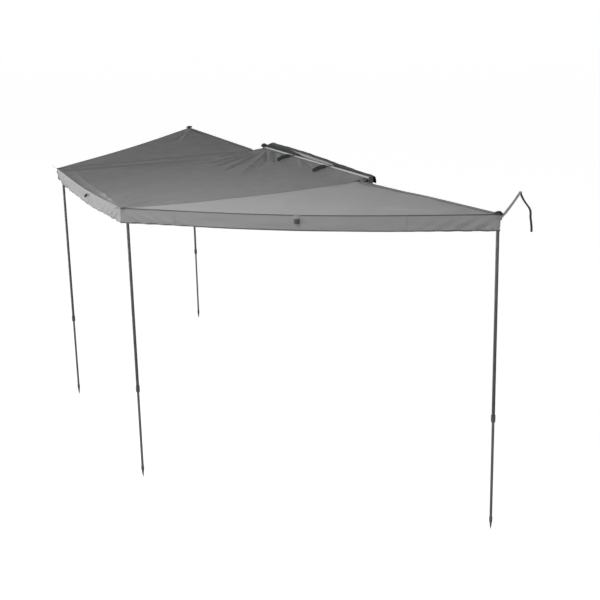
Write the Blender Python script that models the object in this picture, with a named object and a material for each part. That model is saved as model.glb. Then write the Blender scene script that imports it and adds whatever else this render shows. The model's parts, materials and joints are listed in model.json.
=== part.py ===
"""A vehicle side awning with a hinge at each end of its backboard, open, with its four legs down.

Metres, +Z up. The origin is under the centre bracket's foot, where it stands on the vehicle's rack.
+Y runs towards the vehicle's front and -X out from its side. Run it from Blender's text editor or
with blender --background --python part.py.
"""

import math

import bmesh
import bpy
from mathutils import Matrix, Vector

# Clearances
SEAT_GAP = 0.0003  # between pieces that rest on each other
PIN_GAP = 0.0003  # round a pin in its bore

# Backboard and its brackets
MOUNT_HEIGHT = 1.975  # bracket feet above the ground
BRACKET_FOOT_OUT = 0.085  # origin to the board's back
BRACKET_FOOT_IN = 0.035  # origin to the foot's inner end
BRACKET_PLATE = 0.005
BRACKET_WIDTH = 0.056
BRACKET_RISE = 0.135
BRACKET_SPACING = 0.70
BRACKET_RIB = 0.004
SLOT_WIDTH = 0.0085
SLOT_LENGTH = 0.026
SLOT_OFFSET = 0.014
BOARD_LENGTH = 2.146
BOARD_HEIGHT = 0.090
BOARD_THICKNESS = 0.016
T_SLOT_MOUTH = 0.0090
T_SLOT_WIDTH = 0.016
T_SLOT_LIP = 0.003
T_SLOT_DEPTH = 0.006
T_SLOT_HEIGHTS = (0.022, 0.068)  # above the board's lower edge
FRONT_SLOT_MOUTH = 0.0130
FRONT_SLOT_WIDTH = 0.021
FRONT_SLOT_LIP = 0.0025
FRONT_SLOT_DEPTH = 0.0045
FRONT_SLOT_HEIGHT = 0.045
NUT_BAR_LENGTH = 0.046
BOLT_SPACING = 0.026
BOLT_RADIUS = 0.004
NUT_RADIUS = 0.0072
NUT_HEIGHT = 0.0065
END_CAP_THICKNESS = 0.010

# Rail on the board's top front edge, and the cloth bead in it
RAIL_FLANGE = 0.002
RAIL_FLANGE_HEIGHT = 0.018
RAIL_BORE_RADIUS = 0.0039
RAIL_WALL = 0.0017
RAIL_MOUTH = 0.0030
BEAD_RADIUS = 0.0033

# Hinges
HINGE_SPACING = 2.06
HINGE_STANDOFF = 0.058  # board front to the rear hinge's pins
PIN_RADIUS = 0.004
PIN_HEAD_RADIUS = 0.0065
PIN_HEAD_HEIGHT = 0.0035
BOSS_RADIUS = 0.012
FORK_PLATE = 0.004
FORK_RADIUS = 0.013
NECK_HALF_WIDTH = 0.009
HINGE_PLATE = 0.006
HINGE_PLATE_LENGTH = 0.062
HINGE_PLATE_HEIGHT = 0.062
HINGE_PLATE_DROP = 0.004  # its middle, below the arms' axis
HINGE_GUSSET = 0.026
HINGE_RIB = 0.006
HINGE_BOLT_SPACING = 0.045
HINGE_BOLT_RADIUS = 0.0035
HINGE_BOLT_HEAD_RADIUS = 0.0058
HINGE_BOLT_HEAD = 0.0036

# Arms
ARM_REACH = 1.90  # hinge pin to the cloth's corner
TUBE_WIDTH = 0.022
TUBE_HEIGHT = 0.040
TUBE_WALL = 0.002
TUBE_CORNER = 0.003
NEST_GAP = 0.006  # between arms folded side by side
TUBE_START = 0.045
PLUG_LENGTH = 0.060
TIP_LENGTH = 0.030  # from the tube's end to the leg's pin
TIP_NOSE = 0.012  # from the leg's pin to the tip's end
TIP_SIDE = 0.001  # how far the tip stands proud of the tube's sides
EAR_RADIUS = 0.010
EAR_THICKNESS = 0.003
LEG_PIN_RADIUS = 0.003
LOOP_PLATE = 0.004
LOOP_INSET = 0.006  # from the arm's middle to the loop's inner face
LOOP_BAR = 0.0045
LOOP_HEIGHT = 0.030
LOOP_REACH = 0.018
TIP_RISE = {  # each leg's length sets how far its arm's tip stands above or below the hinge
    "rear_mid": -0.036,
    "rear_end": 0.054,
    "front_mid": -0.019,
    "front_end": 0.026,
}

# Legs
LEG_INSET = 0.045  # cloth's corner to the leg's pin
LEG_DROP = 0.035  # arm's underside to the leg's pin
LEG_BOARD_CLEARANCE = 0.004  # board's underside above a leg folded beneath it
UPPER_RADIUS = 0.011
LOWER_RADIUS = 0.0090
LEG_WALL = 0.0015
UPPER_START = 0.028  # pin to the upper tube's top
UPPER_LENGTH = 1.252
HEAD_PLUG = 0.040
COLLAR_RADIUS = 0.0130
COLLAR_LENGTH = 0.044
COLLAR_LAP = 0.022  # how far the collar reaches up over the upper tube
COLLAR_RIBS = 10
LOWER_LENGTH = 1.20
FOOT_RADIUS = 0.0110
FOOT_HEIGHT = 0.040
FOOT_SOCKET = 0.026
SPIKE_RADIUS = 0.0030
SPIKE_LENGTH = 0.055

# Cloth
CLOTH = 0.0016
CLOTH_LIFT = 0.0017  # over the arm tubes
CLOTH_SEAM = 0.0010  # between panels
WING_SAG = 0.034
CENTRE_SAG = 0.024
FOLD_HEIGHT = 0.005
VALANCE_HEIGHT = 0.105
VALANCE_WAVE = 0.004
VALANCE_CUT = 0.70  # share of its height that it loses at the front mid arm's corner
VALANCE_CUT_REACH = 0.12
VALANCE_SHARE = {"centre": (0.0025, 0.9975), "wing": (0.0025, 0.985)}  # of the hem above it
WING_MID_START = 0.065  # pin to the wing's cut-off corner, along the mid arm
WING_END_START = 0.070  # the same, along the end arm
HEM_OVERHANG = 0.001  # how far the wing's hem lies past the end arm's side

# Travel cover, folded back behind the rail
COVER_THICKNESS = 0.0020
COVER_CREST = 0.041  # the fold's highest place above the board
COVER_LENGTH = 2.110
COVER_FALL = 0.055

# Webbing
WEBBING_WIDTH = 0.020
WEBBING = 0.0018
STORAGE_STRAP_WIDTH = 0.025
STORAGE_STRAP_PLACES = {"rear": -0.36, "front": 0.38}  # along the board
HOOK_PLACE = (1.437, -0.847, -0.136)  # where the tie hooks the rack's far rear corner
TIE_SAG = 0.008
TAIL_ROUTE = (  # from the adjuster's middle bar: sideways, then up
    (0.0, 0.0),
    (0.004, -0.016),
    (0.014, -0.040),
    (0.030, -0.070),
    (0.054, -0.104),
    (0.077, -0.136),
    (0.088, -0.168),
    (0.089, -0.210),
    (0.095, -0.255),
    (0.100, -0.300),
    (0.101, -0.340),
)
HOOK_WIRE_RADIUS = 0.0025
HOOK_BEND_RADIUS = 0.011
HOOK_SHANK = 0.030
ADJUSTER_LENGTH = 0.034
ADJUSTER_BAR = 0.0050
ADJUSTER_THICKNESS = 0.0036

# What follows from the sizes above
NEST_PITCH = TUBE_WIDTH + NEST_GAP
LEG_LANE_TOP = TUBE_HEIGHT / 2 + LEG_DROP - UPPER_RADIUS  # below the arm's axis
ARM_AXIS = 0.097  # arms' axis above the bracket feet, at the hinges
BOARD_BOTTOM = ARM_AXIS - LEG_LANE_TOP + LEG_BOARD_CLEARANCE
BOARD_TOP = BOARD_BOTTOM + BOARD_HEIGHT
BOLT_LINE = BOARD_BOTTOM + FRONT_SLOT_HEIGHT  # hinge brackets' bolts
BOARD_BACK = -BRACKET_FOOT_OUT
BOARD_FRONT = BOARD_BACK - BOARD_THICKNESS
REAR_HINGE_X = BOARD_FRONT - HINGE_STANDOFF
FRONT_HINGE_X = REAR_HINGE_X - 2 * NEST_PITCH
HINGE_Y = HINGE_SPACING / 2
TIP_WIDTH = TUBE_WIDTH + 2 * TIP_SIDE
HEAD_WIDTH = TIP_WIDTH - 2 * EAR_THICKNESS - 2 * SEAT_GAP
TONGUE_HEIGHT = TUBE_HEIGHT - 2 * FORK_PLATE - 2 * SEAT_GAP
RAIL_RADIUS = RAIL_BORE_RADIUS + RAIL_WALL
RAIL_X = BOARD_FRONT - SEAT_GAP - RAIL_FLANGE - RAIL_RADIUS + 0.0004
RAIL_Z = BOARD_TOP - 0.001 - RAIL_FLANGE_HEIGHT / 2
COLLAR_CENTRE = UPPER_START + UPPER_LENGTH
CLOTH_TOP = TUBE_HEIGHT / 2 + CLOTH_LIFT + CLOTH  # above an arm's axis


class Arm:
    """One arm: where its pin stands, which way it points and how high its tip is."""

    def __init__(self, name, pin, heading, reach):
        self.name = name
        self.reach = reach
        self.level = Matrix.Translation((*pin, ARM_AXIS)) @ Matrix.Rotation(math.radians(heading), 4, "Z")
        self.slope = math.asin(TIP_RISE[name] / reach)
        self.sloped = self.level @ Matrix.Rotation(-self.slope, 4, "Y")
        leg_pin = Vector((reach - LEG_INSET, 0, -TUBE_HEIGHT / 2 - LEG_DROP))
        self.leg = Matrix.Translation(self.sloped @ leg_pin) @ Matrix.Rotation(math.radians(heading), 4, "Z")
        self.tip = self.sloped @ Matrix.Translation((reach - LEG_INSET, 0, 0))

    def top_at(self, distance):
        """The height of the cloth's upper side over the arm, this far along it."""
        return ARM_AXIS + CLOTH_TOP + TIP_RISE[self.name] * distance / self.reach

    @property
    def leg_length(self):
        """From the leg's pin to the ground."""
        return self.leg.translation.z + MOUNT_HEIGHT


ARMS = {
    "rear_mid": Arm("rear_mid", (REAR_HINGE_X, -HINGE_Y), 180, ARM_REACH),
    "rear_end": Arm("rear_end", (REAR_HINGE_X, -HINGE_Y - NEST_PITCH), -90, ARM_REACH),
    "front_mid": Arm("front_mid", (FRONT_HINGE_X, HINGE_Y), 180, ARM_REACH - 2 * NEST_PITCH),
    "front_end": Arm("front_end", (FRONT_HINGE_X, HINGE_Y + NEST_PITCH), 90, ARM_REACH),
}
PARENTS = {"rear_mid": "board", "rear_end": "rear_mid", "front_mid": "board", "front_end": "front_mid"}
SIDES = {"rear": 1, "front": -1}  # which side of a mid arm its end arm's pin stands on, seen along the arm


# Scene, materials and bodies


def clear_scene():
    for thing in list(bpy.data.objects):
        bpy.data.objects.remove(thing)


def make_material(name, colour, roughness, metallic=0.0):
    material = bpy.data.materials.new(name)
    material.use_nodes = True
    shader = material.node_tree.nodes["Principled BSDF"]
    shader.inputs["Base Color"].default_value = (*colour, 1.0)
    shader.inputs["Roughness"].default_value = roughness
    shader.inputs["Metallic"].default_value = metallic
    material.diffuse_color = (*colour, 1.0)
    return material


def make_body(name, matrix, parent=None):
    """An empty on a joint's axis, which its pieces are parented to."""
    empty = bpy.data.objects.new("axis_" + name, None)
    bpy.context.scene.collection.objects.link(empty)
    empty.empty_display_size = 0.05
    empty["place"] = [value for row in matrix for value in row]
    if parent is not None:
        empty.parent = parent
        empty.matrix_parent_inverse = place_of(parent).inverted()
    empty.matrix_basis = matrix
    return empty


def place_of(empty):
    flat = list(empty["place"])
    return Matrix([flat[0:4], flat[4:8], flat[8:12], flat[12:16]])


def add_piece(name, mesh, material, body, matrix=None):
    """One named piece, made from a mesh in its own coordinates."""
    if isinstance(mesh, bmesh.types.BMesh):
        mesh = finished(mesh, name)
    piece = bpy.data.objects.new(name, mesh)
    bpy.context.scene.collection.objects.link(piece)
    if not mesh.materials:
        mesh.materials.append(material)
    piece.parent = body
    piece.matrix_parent_inverse = place_of(body).inverted()
    piece.matrix_basis = matrix or Matrix.Identity(4)
    return piece


# Shapes


def face_outwards(bm):
    bmesh.ops.recalc_face_normals(bm, faces=bm.faces)
    if bm.calc_volume(signed=True) < 0:
        bmesh.ops.reverse_faces(bm, faces=bm.faces)


def finished(bm, name="shape"):
    face_outwards(bm)
    mesh = bpy.data.meshes.new(name)
    bm.to_mesh(mesh)
    bm.free()
    mesh.shade_smooth()
    mesh.set_sharp_from_angle(angle=math.radians(35))
    return mesh


def prism(outline, start, end, plane="XZ"):
    """A closed outline, extruded from start to end along the axis that it lacks."""
    bm = bmesh.new()
    lift = {
        "XZ": lambda a, b: (a, start, b),
        "XY": lambda a, b: (a, b, start),
        "YZ": lambda a, b: (start, a, b),
    }
    shift = {"XZ": (0, end - start, 0), "XY": (0, 0, end - start), "YZ": (end - start, 0, 0)}
    face = bm.faces.new([bm.verts.new(lift[plane](a, b)) for a, b in outline])
    moved = bmesh.ops.extrude_face_region(bm, geom=[face])["geom"]
    bmesh.ops.translate(bm, verts=[v for v in moved if isinstance(v, bmesh.types.BMVert)], vec=shift[plane])
    return bm


def block(low, high):
    bm = bmesh.new()
    middle = [(a + b) / 2 for a, b in zip(low, high)]
    size = [b - a for a, b in zip(low, high)]
    bmesh.ops.create_cube(bm, size=1, matrix=Matrix.Translation(middle) @ Matrix.Diagonal((*size, 1)))
    return bm


def turned(profile, sides, closed=False):
    """A profile of (radius, height) points, spun about Z. A closed profile makes a ring."""
    bm = bmesh.new()
    verts = [bm.verts.new((r, 0, z)) for r, z in profile]
    pairs = list(zip(verts, verts[1:])) + ([(verts[-1], verts[0])] if closed else [])
    edges = [bm.edges.new(pair) for pair in pairs]
    bmesh.ops.spin(bm, geom=verts + edges, cent=(0, 0, 0), axis=(0, 0, 1), angle=math.tau, steps=sides)
    bmesh.ops.remove_doubles(bm, verts=bm.verts, dist=1e-6)
    return bm


def rod(radius, start, end, sides=16):
    """A solid cylinder about Z."""
    return turned([(0, start), (radius, start), (radius, end), (0, end)], sides)


def moved_to(bm, matrix):
    bmesh.ops.transform(bm, matrix=matrix, verts=bm.verts)
    return bm


def gathered(parts):
    """Several separate solids in one mesh."""
    whole = bmesh.new()
    for part in parts:
        face_outwards(part)
        mesh = bpy.data.meshes.new("part")
        part.to_mesh(mesh)
        part.free()
        whole.from_mesh(mesh)
        bpy.data.meshes.remove(mesh)
    return whole


def combined(base, tool, operation):
    """Boolean of two closed bmeshes. It makes a new one and frees both."""
    objects = []
    for role, bm in (("base", base), ("tool", tool)):
        face_outwards(bm)
        mesh = bpy.data.meshes.new(role)
        bm.to_mesh(mesh)
        bm.free()
        thing = bpy.data.objects.new(role, mesh)
        bpy.context.scene.collection.objects.link(thing)
        objects.append(thing)
    modifier = objects[0].modifiers.new("combine", "BOOLEAN")
    modifier.operation = operation
    modifier.object = objects[1]
    bpy.context.view_layer.update()
    evaluated = objects[0].evaluated_get(bpy.context.evaluated_depsgraph_get())
    result = bmesh.new()
    result.from_mesh(evaluated.to_mesh())
    evaluated.to_mesh_clear()
    for thing in objects:
        mesh = thing.data
        bpy.data.objects.remove(thing)
        bpy.data.meshes.remove(mesh)
    bmesh.ops.remove_doubles(result, verts=result.verts, dist=1e-6)
    return result


def less(base, *tools):
    for tool in tools:
        base = combined(base, tool, "DIFFERENCE")
    return base


def plus(base, *tools):
    for tool in tools:
        base = combined(base, tool, "UNION")
    return base


def arc(centre, radius, start, end, steps):
    """Points on a circle from one angle to another, in degrees."""
    angles = [math.radians(start + (end - start) * i / steps) for i in range(steps + 1)]
    return [(centre[0] + radius * math.cos(a), centre[1] + radius * math.sin(a)) for a in angles]


def rounded_rectangle(width, height, radius, steps=3):
    corners = [(1, 1, 0), (-1, 1, 90), (-1, -1, 180), (1, -1, 270)]
    points = []
    for x, y, start in corners:
        centre = (x * (width / 2 - radius), y * (height / 2 - radius))
        points += arc(centre, radius, start, start + 90, steps)
    return points


def cloth(columns, rows, surface):
    """A sheet: a grid laid on surface(u, v), with u and v from 0 to 1. It gives each point and its back's."""
    bm = bmesh.new()
    bmesh.ops.create_grid(bm, x_segments=columns, y_segments=rows, size=0.5)
    back = set(bmesh.ops.extrude_face_region(bm, geom=list(bm.faces))["geom"])
    for vert in bm.verts:
        vert.co = surface(vert.co.x + 0.5, vert.co.y + 0.5)[vert in back]
    return bm


def valance_drop(hem):
    """How deep the valance hangs from this point of its hem: it is cut back round the front corner."""
    corner = arm_line("front_mid", ARMS["front_mid"].reach)
    return VALANCE_HEIGHT * (1 - VALANCE_CUT * math.exp(-(hem - corner).length / VALANCE_CUT_REACH))


def with_valance(canopy, columns, outward, share, waves):
    """Carries a canopy on down its valance. Columns are the canopy's and the valance's share of u."""
    edge = columns[0] / sum(columns)

    def surface(u, v):
        inner = -outward * CLOTH
        if u < edge + 1e-6:
            point = canopy(min(u / edge, 1.0), v)
            return point, point - Vector((0, 0, CLOTH)) + (inner if u > edge - 1e-6 else Vector())
        down = (u - edge) / (1 - edge)
        v = share[0] + (share[1] - share[0]) * v
        wave = VALANCE_WAVE * (math.sin(math.tau * waves * v) + 1.0) * down
        hem = canopy(1.0, v)
        point = hem + outward * wave - Vector((0, 0, valance_drop(hem) * down))
        return point, point + inner

    return surface


def smooth_step(value):
    value = min(max(value, 0.0), 1.0)
    return value * value * (3 - 2 * value)


def smooth_path(points, steps):
    """Points on a smooth curve through the given ones (Catmull-Rom)."""
    points = [Vector(p) for p in points]
    points = [2 * points[0] - points[1], *points, 2 * points[-1] - points[-2]]
    path = []
    for a, b, c, d in zip(points, points[1:], points[2:], points[3:]):
        for i in range(steps):
            t = i / steps
            square, cube = 2 * a - 5 * b + 4 * c - d, 3 * b - a - 3 * c + d
            path.append(0.5 * (2 * b + (c - a) * t + square * t**2 + cube * t**3))
    path.append(points[-2])
    return path


def ribbon(path, across, thickness):
    """A flat strap along a path. Across gives half its width, as a vector, at each point."""
    bm = bmesh.new()
    rings = []
    for i, point in enumerate(path):
        along = (path[min(i + 1, len(path) - 1)] - path[max(i - 1, 0)]).normalized()
        side = across(i / (len(path) - 1))
        up = side.cross(along).normalized() * thickness / 2
        corners = (point - side - up, point + side - up, point + side + up, point - side + up)
        rings.append([bm.verts.new(corner) for corner in corners])
    for a, b in zip(rings, rings[1:]):
        for i in range(4):
            bm.faces.new((a[i], a[(i + 1) % 4], b[(i + 1) % 4], b[i]))
    bm.faces.new(rings[0][::-1])
    bm.faces.new(rings[-1])
    return bm


# Backboard


def board_outline():
    """The extrusion's section: two T-slots open to the back, and one between them to the front."""
    points = [(BOARD_BACK, BOARD_BOTTOM)]
    for height in T_SLOT_HEIGHTS:
        points += t_slot(BOARD_BACK, height, T_SLOT_MOUTH, T_SLOT_WIDTH, -T_SLOT_LIP, -T_SLOT_DEPTH)
    points += [(BOARD_BACK, BOARD_TOP), (BOARD_FRONT, BOARD_TOP)]
    points += t_slot(
        BOARD_FRONT, FRONT_SLOT_HEIGHT, FRONT_SLOT_MOUTH, FRONT_SLOT_WIDTH, FRONT_SLOT_LIP, FRONT_SLOT_DEPTH
    )[::-1]
    return points + [(BOARD_FRONT, BOARD_BOTTOM)]


def t_slot(face, height, mouth, width, lip, depth):
    """A T-slot's outline from its lower lip to its upper one, at a height above the board's lower edge."""
    back = face + lip
    half = [(face, mouth / 2), (back, mouth / 2), (back, width / 2), (back + depth, width / 2)]
    middle = BOARD_BOTTOM + height
    return [(x, middle - z) for x, z in half] + [(x, middle + z) for x, z in half[::-1]]


TO_X = Matrix.Rotation(math.radians(90), 4, "Y")  # turns +Z to +X
TO_Y = Matrix.Rotation(math.radians(-90), 4, "X")  # turns +Z to +Y


def make_board(body, alloy):
    add_piece("back_board", prism(board_outline(), -BOARD_LENGTH / 2, BOARD_LENGTH / 2), alloy, body)


def rail_outline():
    """A round channel, open outwards, on a flange. Angles run from -X."""
    half_mouth = math.degrees(math.asin(RAIL_MOUTH / 2 / RAIL_RADIUS))
    half_inner = math.degrees(math.asin(RAIL_MOUTH / 2 / RAIL_BORE_RADIUS))
    flange_front = RAIL_RADIUS - 0.0004
    join = math.degrees(math.acos(-(flange_front - 0.0002) / RAIL_RADIUS))
    outer_top = arc((0, 0), RAIL_RADIUS, half_mouth, join, 7)
    outer_low = arc((0, 0), RAIL_RADIUS, -join, -half_mouth, 7)
    inner = arc((0, 0), RAIL_BORE_RADIUS, -half_inner, half_inner - 360, 18)
    back = -flange_front - RAIL_FLANGE
    half = RAIL_FLANGE_HEIGHT / 2
    flange = [(-flange_front, half), (back, half), (back, -half), (-flange_front, -half)]
    points = outer_top + flange + outer_low + inner
    return [(RAIL_X - a, RAIL_Z + b) for a, b in points]


def make_rail(body, alloy):
    add_piece("keder_rail", prism(rail_outline(), -BOARD_LENGTH / 2, BOARD_LENGTH / 2), alloy, body)


def make_end_caps(body, plastic):
    """A moulded cap closes each end of the board, with a tab in each T-slot."""
    inner = BOARD_BACK + 0.002
    outer = RAIL_X - RAIL_RADIUS - 0.002
    for name, end in (("rear", -1), ("front", 1)):
        start = end * (BOARD_LENGTH / 2 + SEAT_GAP)
        outline = rounded_rectangle(inner - outer, BOARD_HEIGHT + 0.005, 0.006, 4)
        middle = ((inner + outer) / 2, (BOARD_BOTTOM + BOARD_TOP) / 2 + 0.0005)
        outline = [(middle[0] + a, middle[1] + b) for a, b in outline]
        cap = prism(outline, start, start + end * END_CAP_THICKNESS)
        low = BOARD_BACK - T_SLOT_LIP - T_SLOT_DEPTH + SEAT_GAP
        high = BOARD_BACK - T_SLOT_LIP - SEAT_GAP
        for height in T_SLOT_HEIGHTS:
            z = BOARD_BOTTOM + height
            half = T_SLOT_WIDTH / 2 - SEAT_GAP
            ys = sorted((start - end * 0.014, start + end * END_CAP_THICKNESS / 2))
            cap = plus(cap, block((low, ys[0], z - half), (high, ys[1], z + half)))
        add_piece(f"{name}_end_cap", cap, plastic, body)


def bracket_shape():
    """An L of plate with a rib down each side, slots in its foot and bolt holes in its back."""
    back = BOARD_BACK + SEAT_GAP
    face = back + BRACKET_PLATE
    outline = [
        (back, 0),
        (BRACKET_FOOT_IN, 0),
        (BRACKET_FOOT_IN, BRACKET_PLATE),
        *arc((face + 0.004, BRACKET_PLATE + 0.004), 0.004, 270, 180, 3),
        (face, BRACKET_RISE),
        (back, BRACKET_RISE),
    ]
    half = BRACKET_WIDTH / 2
    shape = prism(outline, -half, half)
    rib = [(face - 0.001, 0.001), (BRACKET_FOOT_IN - 0.012, 0.001), (face + 0.012, BRACKET_RISE - 0.030)]
    rib.append((face - 0.001, BRACKET_RISE - 0.012))
    for side in (-1, 1):
        ys = sorted((side * half, side * (half - BRACKET_RIB)))
        shape = plus(shape, prism(rib, *ys))
    cutters = []
    for side in (-1, 1):
        slot = rounded_rectangle(SLOT_LENGTH, SLOT_WIDTH, SLOT_WIDTH / 2 - 1e-4, 5)
        slot = [(a - 0.004, b + side * SLOT_OFFSET) for a, b in slot]
        cutters.append(prism(slot, -0.01, 0.02, "XY"))
    for height in T_SLOT_HEIGHTS:
        for side in (-1, 1):
            hole = rod(BOLT_RADIUS + PIN_GAP, -0.01, 0.02, 12)
            place = Matrix.Translation((back, side * BOLT_SPACING / 2, BOARD_BOTTOM + height))
            cutters.append(moved_to(hole, place @ TO_X))
    return finished(less(shape, gathered(cutters)), "bracket")


def bracket_studs_shape():
    """A bar in the board's upper T-slot with two studs, and their nuts on the bracket's plate."""
    z = BOARD_BOTTOM + T_SLOT_HEIGHTS[-1]
    top = BOARD_BACK - T_SLOT_LIP - SEAT_GAP
    half = T_SLOT_WIDTH / 2 - SEAT_GAP
    bar = block(
        (top - T_SLOT_DEPTH + 2 * SEAT_GAP, -NUT_BAR_LENGTH / 2, z - half),
        (top, NUT_BAR_LENGTH / 2, z + half),
    )
    face = BOARD_BACK + 2 * SEAT_GAP + BRACKET_PLATE
    for side in (-1, 1):
        at = Matrix.Translation((0, side * BOLT_SPACING / 2, z)) @ TO_X
        stud = rod(BOLT_RADIUS, top - 0.001, face + NUT_HEIGHT + 0.004, 12)
        washer = rod(NUT_RADIUS + 0.0015, face, face + 0.0016)
        nut = rod(NUT_RADIUS, face + 0.001, face + NUT_HEIGHT, 6)
        bar = plus(bar, moved_to(stud, at), moved_to(washer, at), moved_to(nut, at))
    return finished(bar, "bracket_studs")


def make_brackets(body, steel, bright):
    bracket, studs = bracket_shape(), bracket_studs_shape()
    for name, y in (("rear", -BRACKET_SPACING), ("centre", 0.0), ("front", BRACKET_SPACING)):
        add_piece(f"bracket_{name}", bracket, steel, body, Matrix.Translation((0, y, 0)))
        add_piece(f"bracket_studs_{name}", studs, bright, body, Matrix.Translation((0, y, 0)))


# Hinges


def hinge_bracket_shape(standoff):
    """A plate on the board's front and a ribbed tongue out to the pin. The origin is on the pin's axis."""
    plate_back = standoff - SEAT_GAP
    plate_face = plate_back - HINGE_PLATE
    half = HINGE_PLATE_HEIGHT / 2
    corners = rounded_rectangle(HINGE_PLATE_LENGTH, HINGE_PLATE_HEIGHT, 0.004)
    plate = prism([(y, z - HINGE_PLATE_DROP) for y, z in corners], plate_face, plate_back, "YZ")
    gusset_end = plate_face - HINGE_GUSSET
    tongue = [
        (plate_face + 0.001, -NECK_HALF_WIDTH * 1.5),
        (plate_face + 0.001, NECK_HALF_WIDTH * 1.5),
        (gusset_end, NECK_HALF_WIDTH),
        *arc((0, 0), BOSS_RADIUS, 45, 315, 18),
        (gusset_end, -NECK_HALF_WIDTH),
    ]
    rib = [
        (plate_face + 0.001, half - HINGE_PLATE_DROP - 0.002),
        (gusset_end, TONGUE_HEIGHT / 2 - 0.001),
        (gusset_end, -TONGUE_HEIGHT / 2 + 0.001),
        (plate_face + 0.001, -half - HINGE_PLATE_DROP + 0.002),
    ]
    shape = plus(
        plate,
        prism(tongue, -TONGUE_HEIGHT / 2, TONGUE_HEIGHT / 2, "XY"),
        prism(rib, -HINGE_RIB / 2, HINGE_RIB / 2),
    )
    holes = [rod(PIN_RADIUS + PIN_GAP, -0.03, 0.03)]
    for side in (-1, 1):
        at = Matrix.Translation((plate_face, side * HINGE_BOLT_SPACING / 2, BOLT_LINE - ARM_AXIS)) @ TO_X
        holes.append(moved_to(rod(HINGE_BOLT_RADIUS + PIN_GAP, -0.01, 0.02, 12), at))
    return less(shape, gathered(holes))


def hinge_bolts_shape():
    """A bar in the board's front T-slot, and the two domed bolts that pull the hinge bracket to it."""
    seat = BOARD_FRONT + FRONT_SLOT_LIP + SEAT_GAP
    half = FRONT_SLOT_WIDTH / 2 - SEAT_GAP
    length = HINGE_PLATE_LENGTH / 2 - 0.001
    bar = block((seat, -length, -half), (seat + FRONT_SLOT_DEPTH - 2 * SEAT_GAP, length, half))
    face = BOARD_FRONT - 2 * SEAT_GAP - HINGE_PLATE
    profile = [
        (0, seat + 0.001),
        (HINGE_BOLT_RADIUS, seat + 0.001),
        (HINGE_BOLT_RADIUS, face),
        (HINGE_BOLT_HEAD_RADIUS, face),
        (HINGE_BOLT_HEAD_RADIUS, face - HINGE_BOLT_HEAD * 0.5),
        (HINGE_BOLT_HEAD_RADIUS * 0.65, face - HINGE_BOLT_HEAD),
        (0, face - HINGE_BOLT_HEAD),
    ]
    for side in (-1, 1):
        at = Matrix.Translation((0, side * HINGE_BOLT_SPACING / 2, 0)) @ TO_X
        bar = plus(bar, moved_to(turned(profile, 12), at))
    return finished(bar, "hinge_bolts")


def pin_shape():
    """A hinge pin, headed on top, with its retaining ring below the fork."""
    half = TUBE_HEIGHT / 2 + SEAT_GAP
    ring = 0.003
    head = half + PIN_HEAD_HEIGHT
    profile = [
        (0, -half - ring - 0.001),
        (PIN_RADIUS, -half - ring - 0.001),
        (PIN_RADIUS, -half - ring),
        (PIN_HEAD_RADIUS, -half - ring),
        (PIN_HEAD_RADIUS, -half),
        (PIN_RADIUS, -half),
        (PIN_RADIUS, half),
        (PIN_HEAD_RADIUS, half),
        (PIN_HEAD_RADIUS, head - 0.001),
        (PIN_HEAD_RADIUS - 0.0012, head),
        (0, head),
    ]
    return turned(profile, 12)


def make_hinges(body, cast, bright):
    bolts = hinge_bolts_shape()
    for name, end, x in (("rear", -1, REAR_HINGE_X), ("front", 1, FRONT_HINGE_X)):
        shape = hinge_bracket_shape(BOARD_FRONT - x)
        bracket_place = Matrix.Translation((x, end * HINGE_Y, ARM_AXIS))
        bolt_place = Matrix.Translation((0, end * HINGE_Y, BOLT_LINE))
        add_piece(f"{name}_hinge_bracket", shape, cast, body, bracket_place)
        add_piece(f"{name}_hinge_bolts", bolts, bright, body, bolt_place)
        add_piece(f"{name}_hinge_pin", pin_shape(), bright, body, ARMS[f"{name}_mid"].level)


# Arms


def plug(start, end):
    """The stub of a casting that fits in an arm tube, along X."""
    width = TUBE_WIDTH - 2 * TUBE_WALL - 2 * SEAT_GAP
    height = TUBE_HEIGHT - 2 * TUBE_WALL - 2 * SEAT_GAP
    outline = rounded_rectangle(width, height, TUBE_CORNER - TUBE_WALL / 2, 2)
    return prism(outline, start, end, "YZ")


def fork_shape(side, slope):
    """A mid arm's knuckle: two plates over the board's tongue and the end arm's tongue, and a plug."""
    pitch = side * NEST_PITCH
    half = TUBE_WIDTH / 2
    reach = TUBE_START - SEAT_GAP - abs(math.sin(slope)) * TUBE_HEIGHT / 2
    plate = [
        (reach, -side * half),
        (0.020, -side * half),
        *arc((0, 0), FORK_RADIUS, -side * 60, -side * 180, 10),
        *arc((0, pitch), FORK_RADIUS, side * 180, side * 20, 12),
        (0.016, side * 0.016),
        (0.020, side * half),
        (reach, side * half),
    ]
    shape = prism(plate, -TUBE_HEIGHT / 2, TUBE_HEIGHT / 2, "XY")
    inner = TONGUE_HEIGHT / 2 + SEAT_GAP
    web = FORK_RADIUS + 0.0035
    ys = sorted((-side * 0.05, pitch + side * 0.05))
    shape = less(shape, block((-0.05, ys[0], -inner), (web, ys[1], inner)))
    bores = gathered(
        [moved_to(rod(PIN_RADIUS + PIN_GAP, -0.03, 0.03), Matrix.Translation((0, y, 0))) for y in (0, pitch)]
    )
    tilt = Matrix.Rotation(-slope, 4, "Y")
    return plus(less(shape, bores), moved_to(plug(web + 0.004, TUBE_START + PLUG_LENGTH), tilt))


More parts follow.
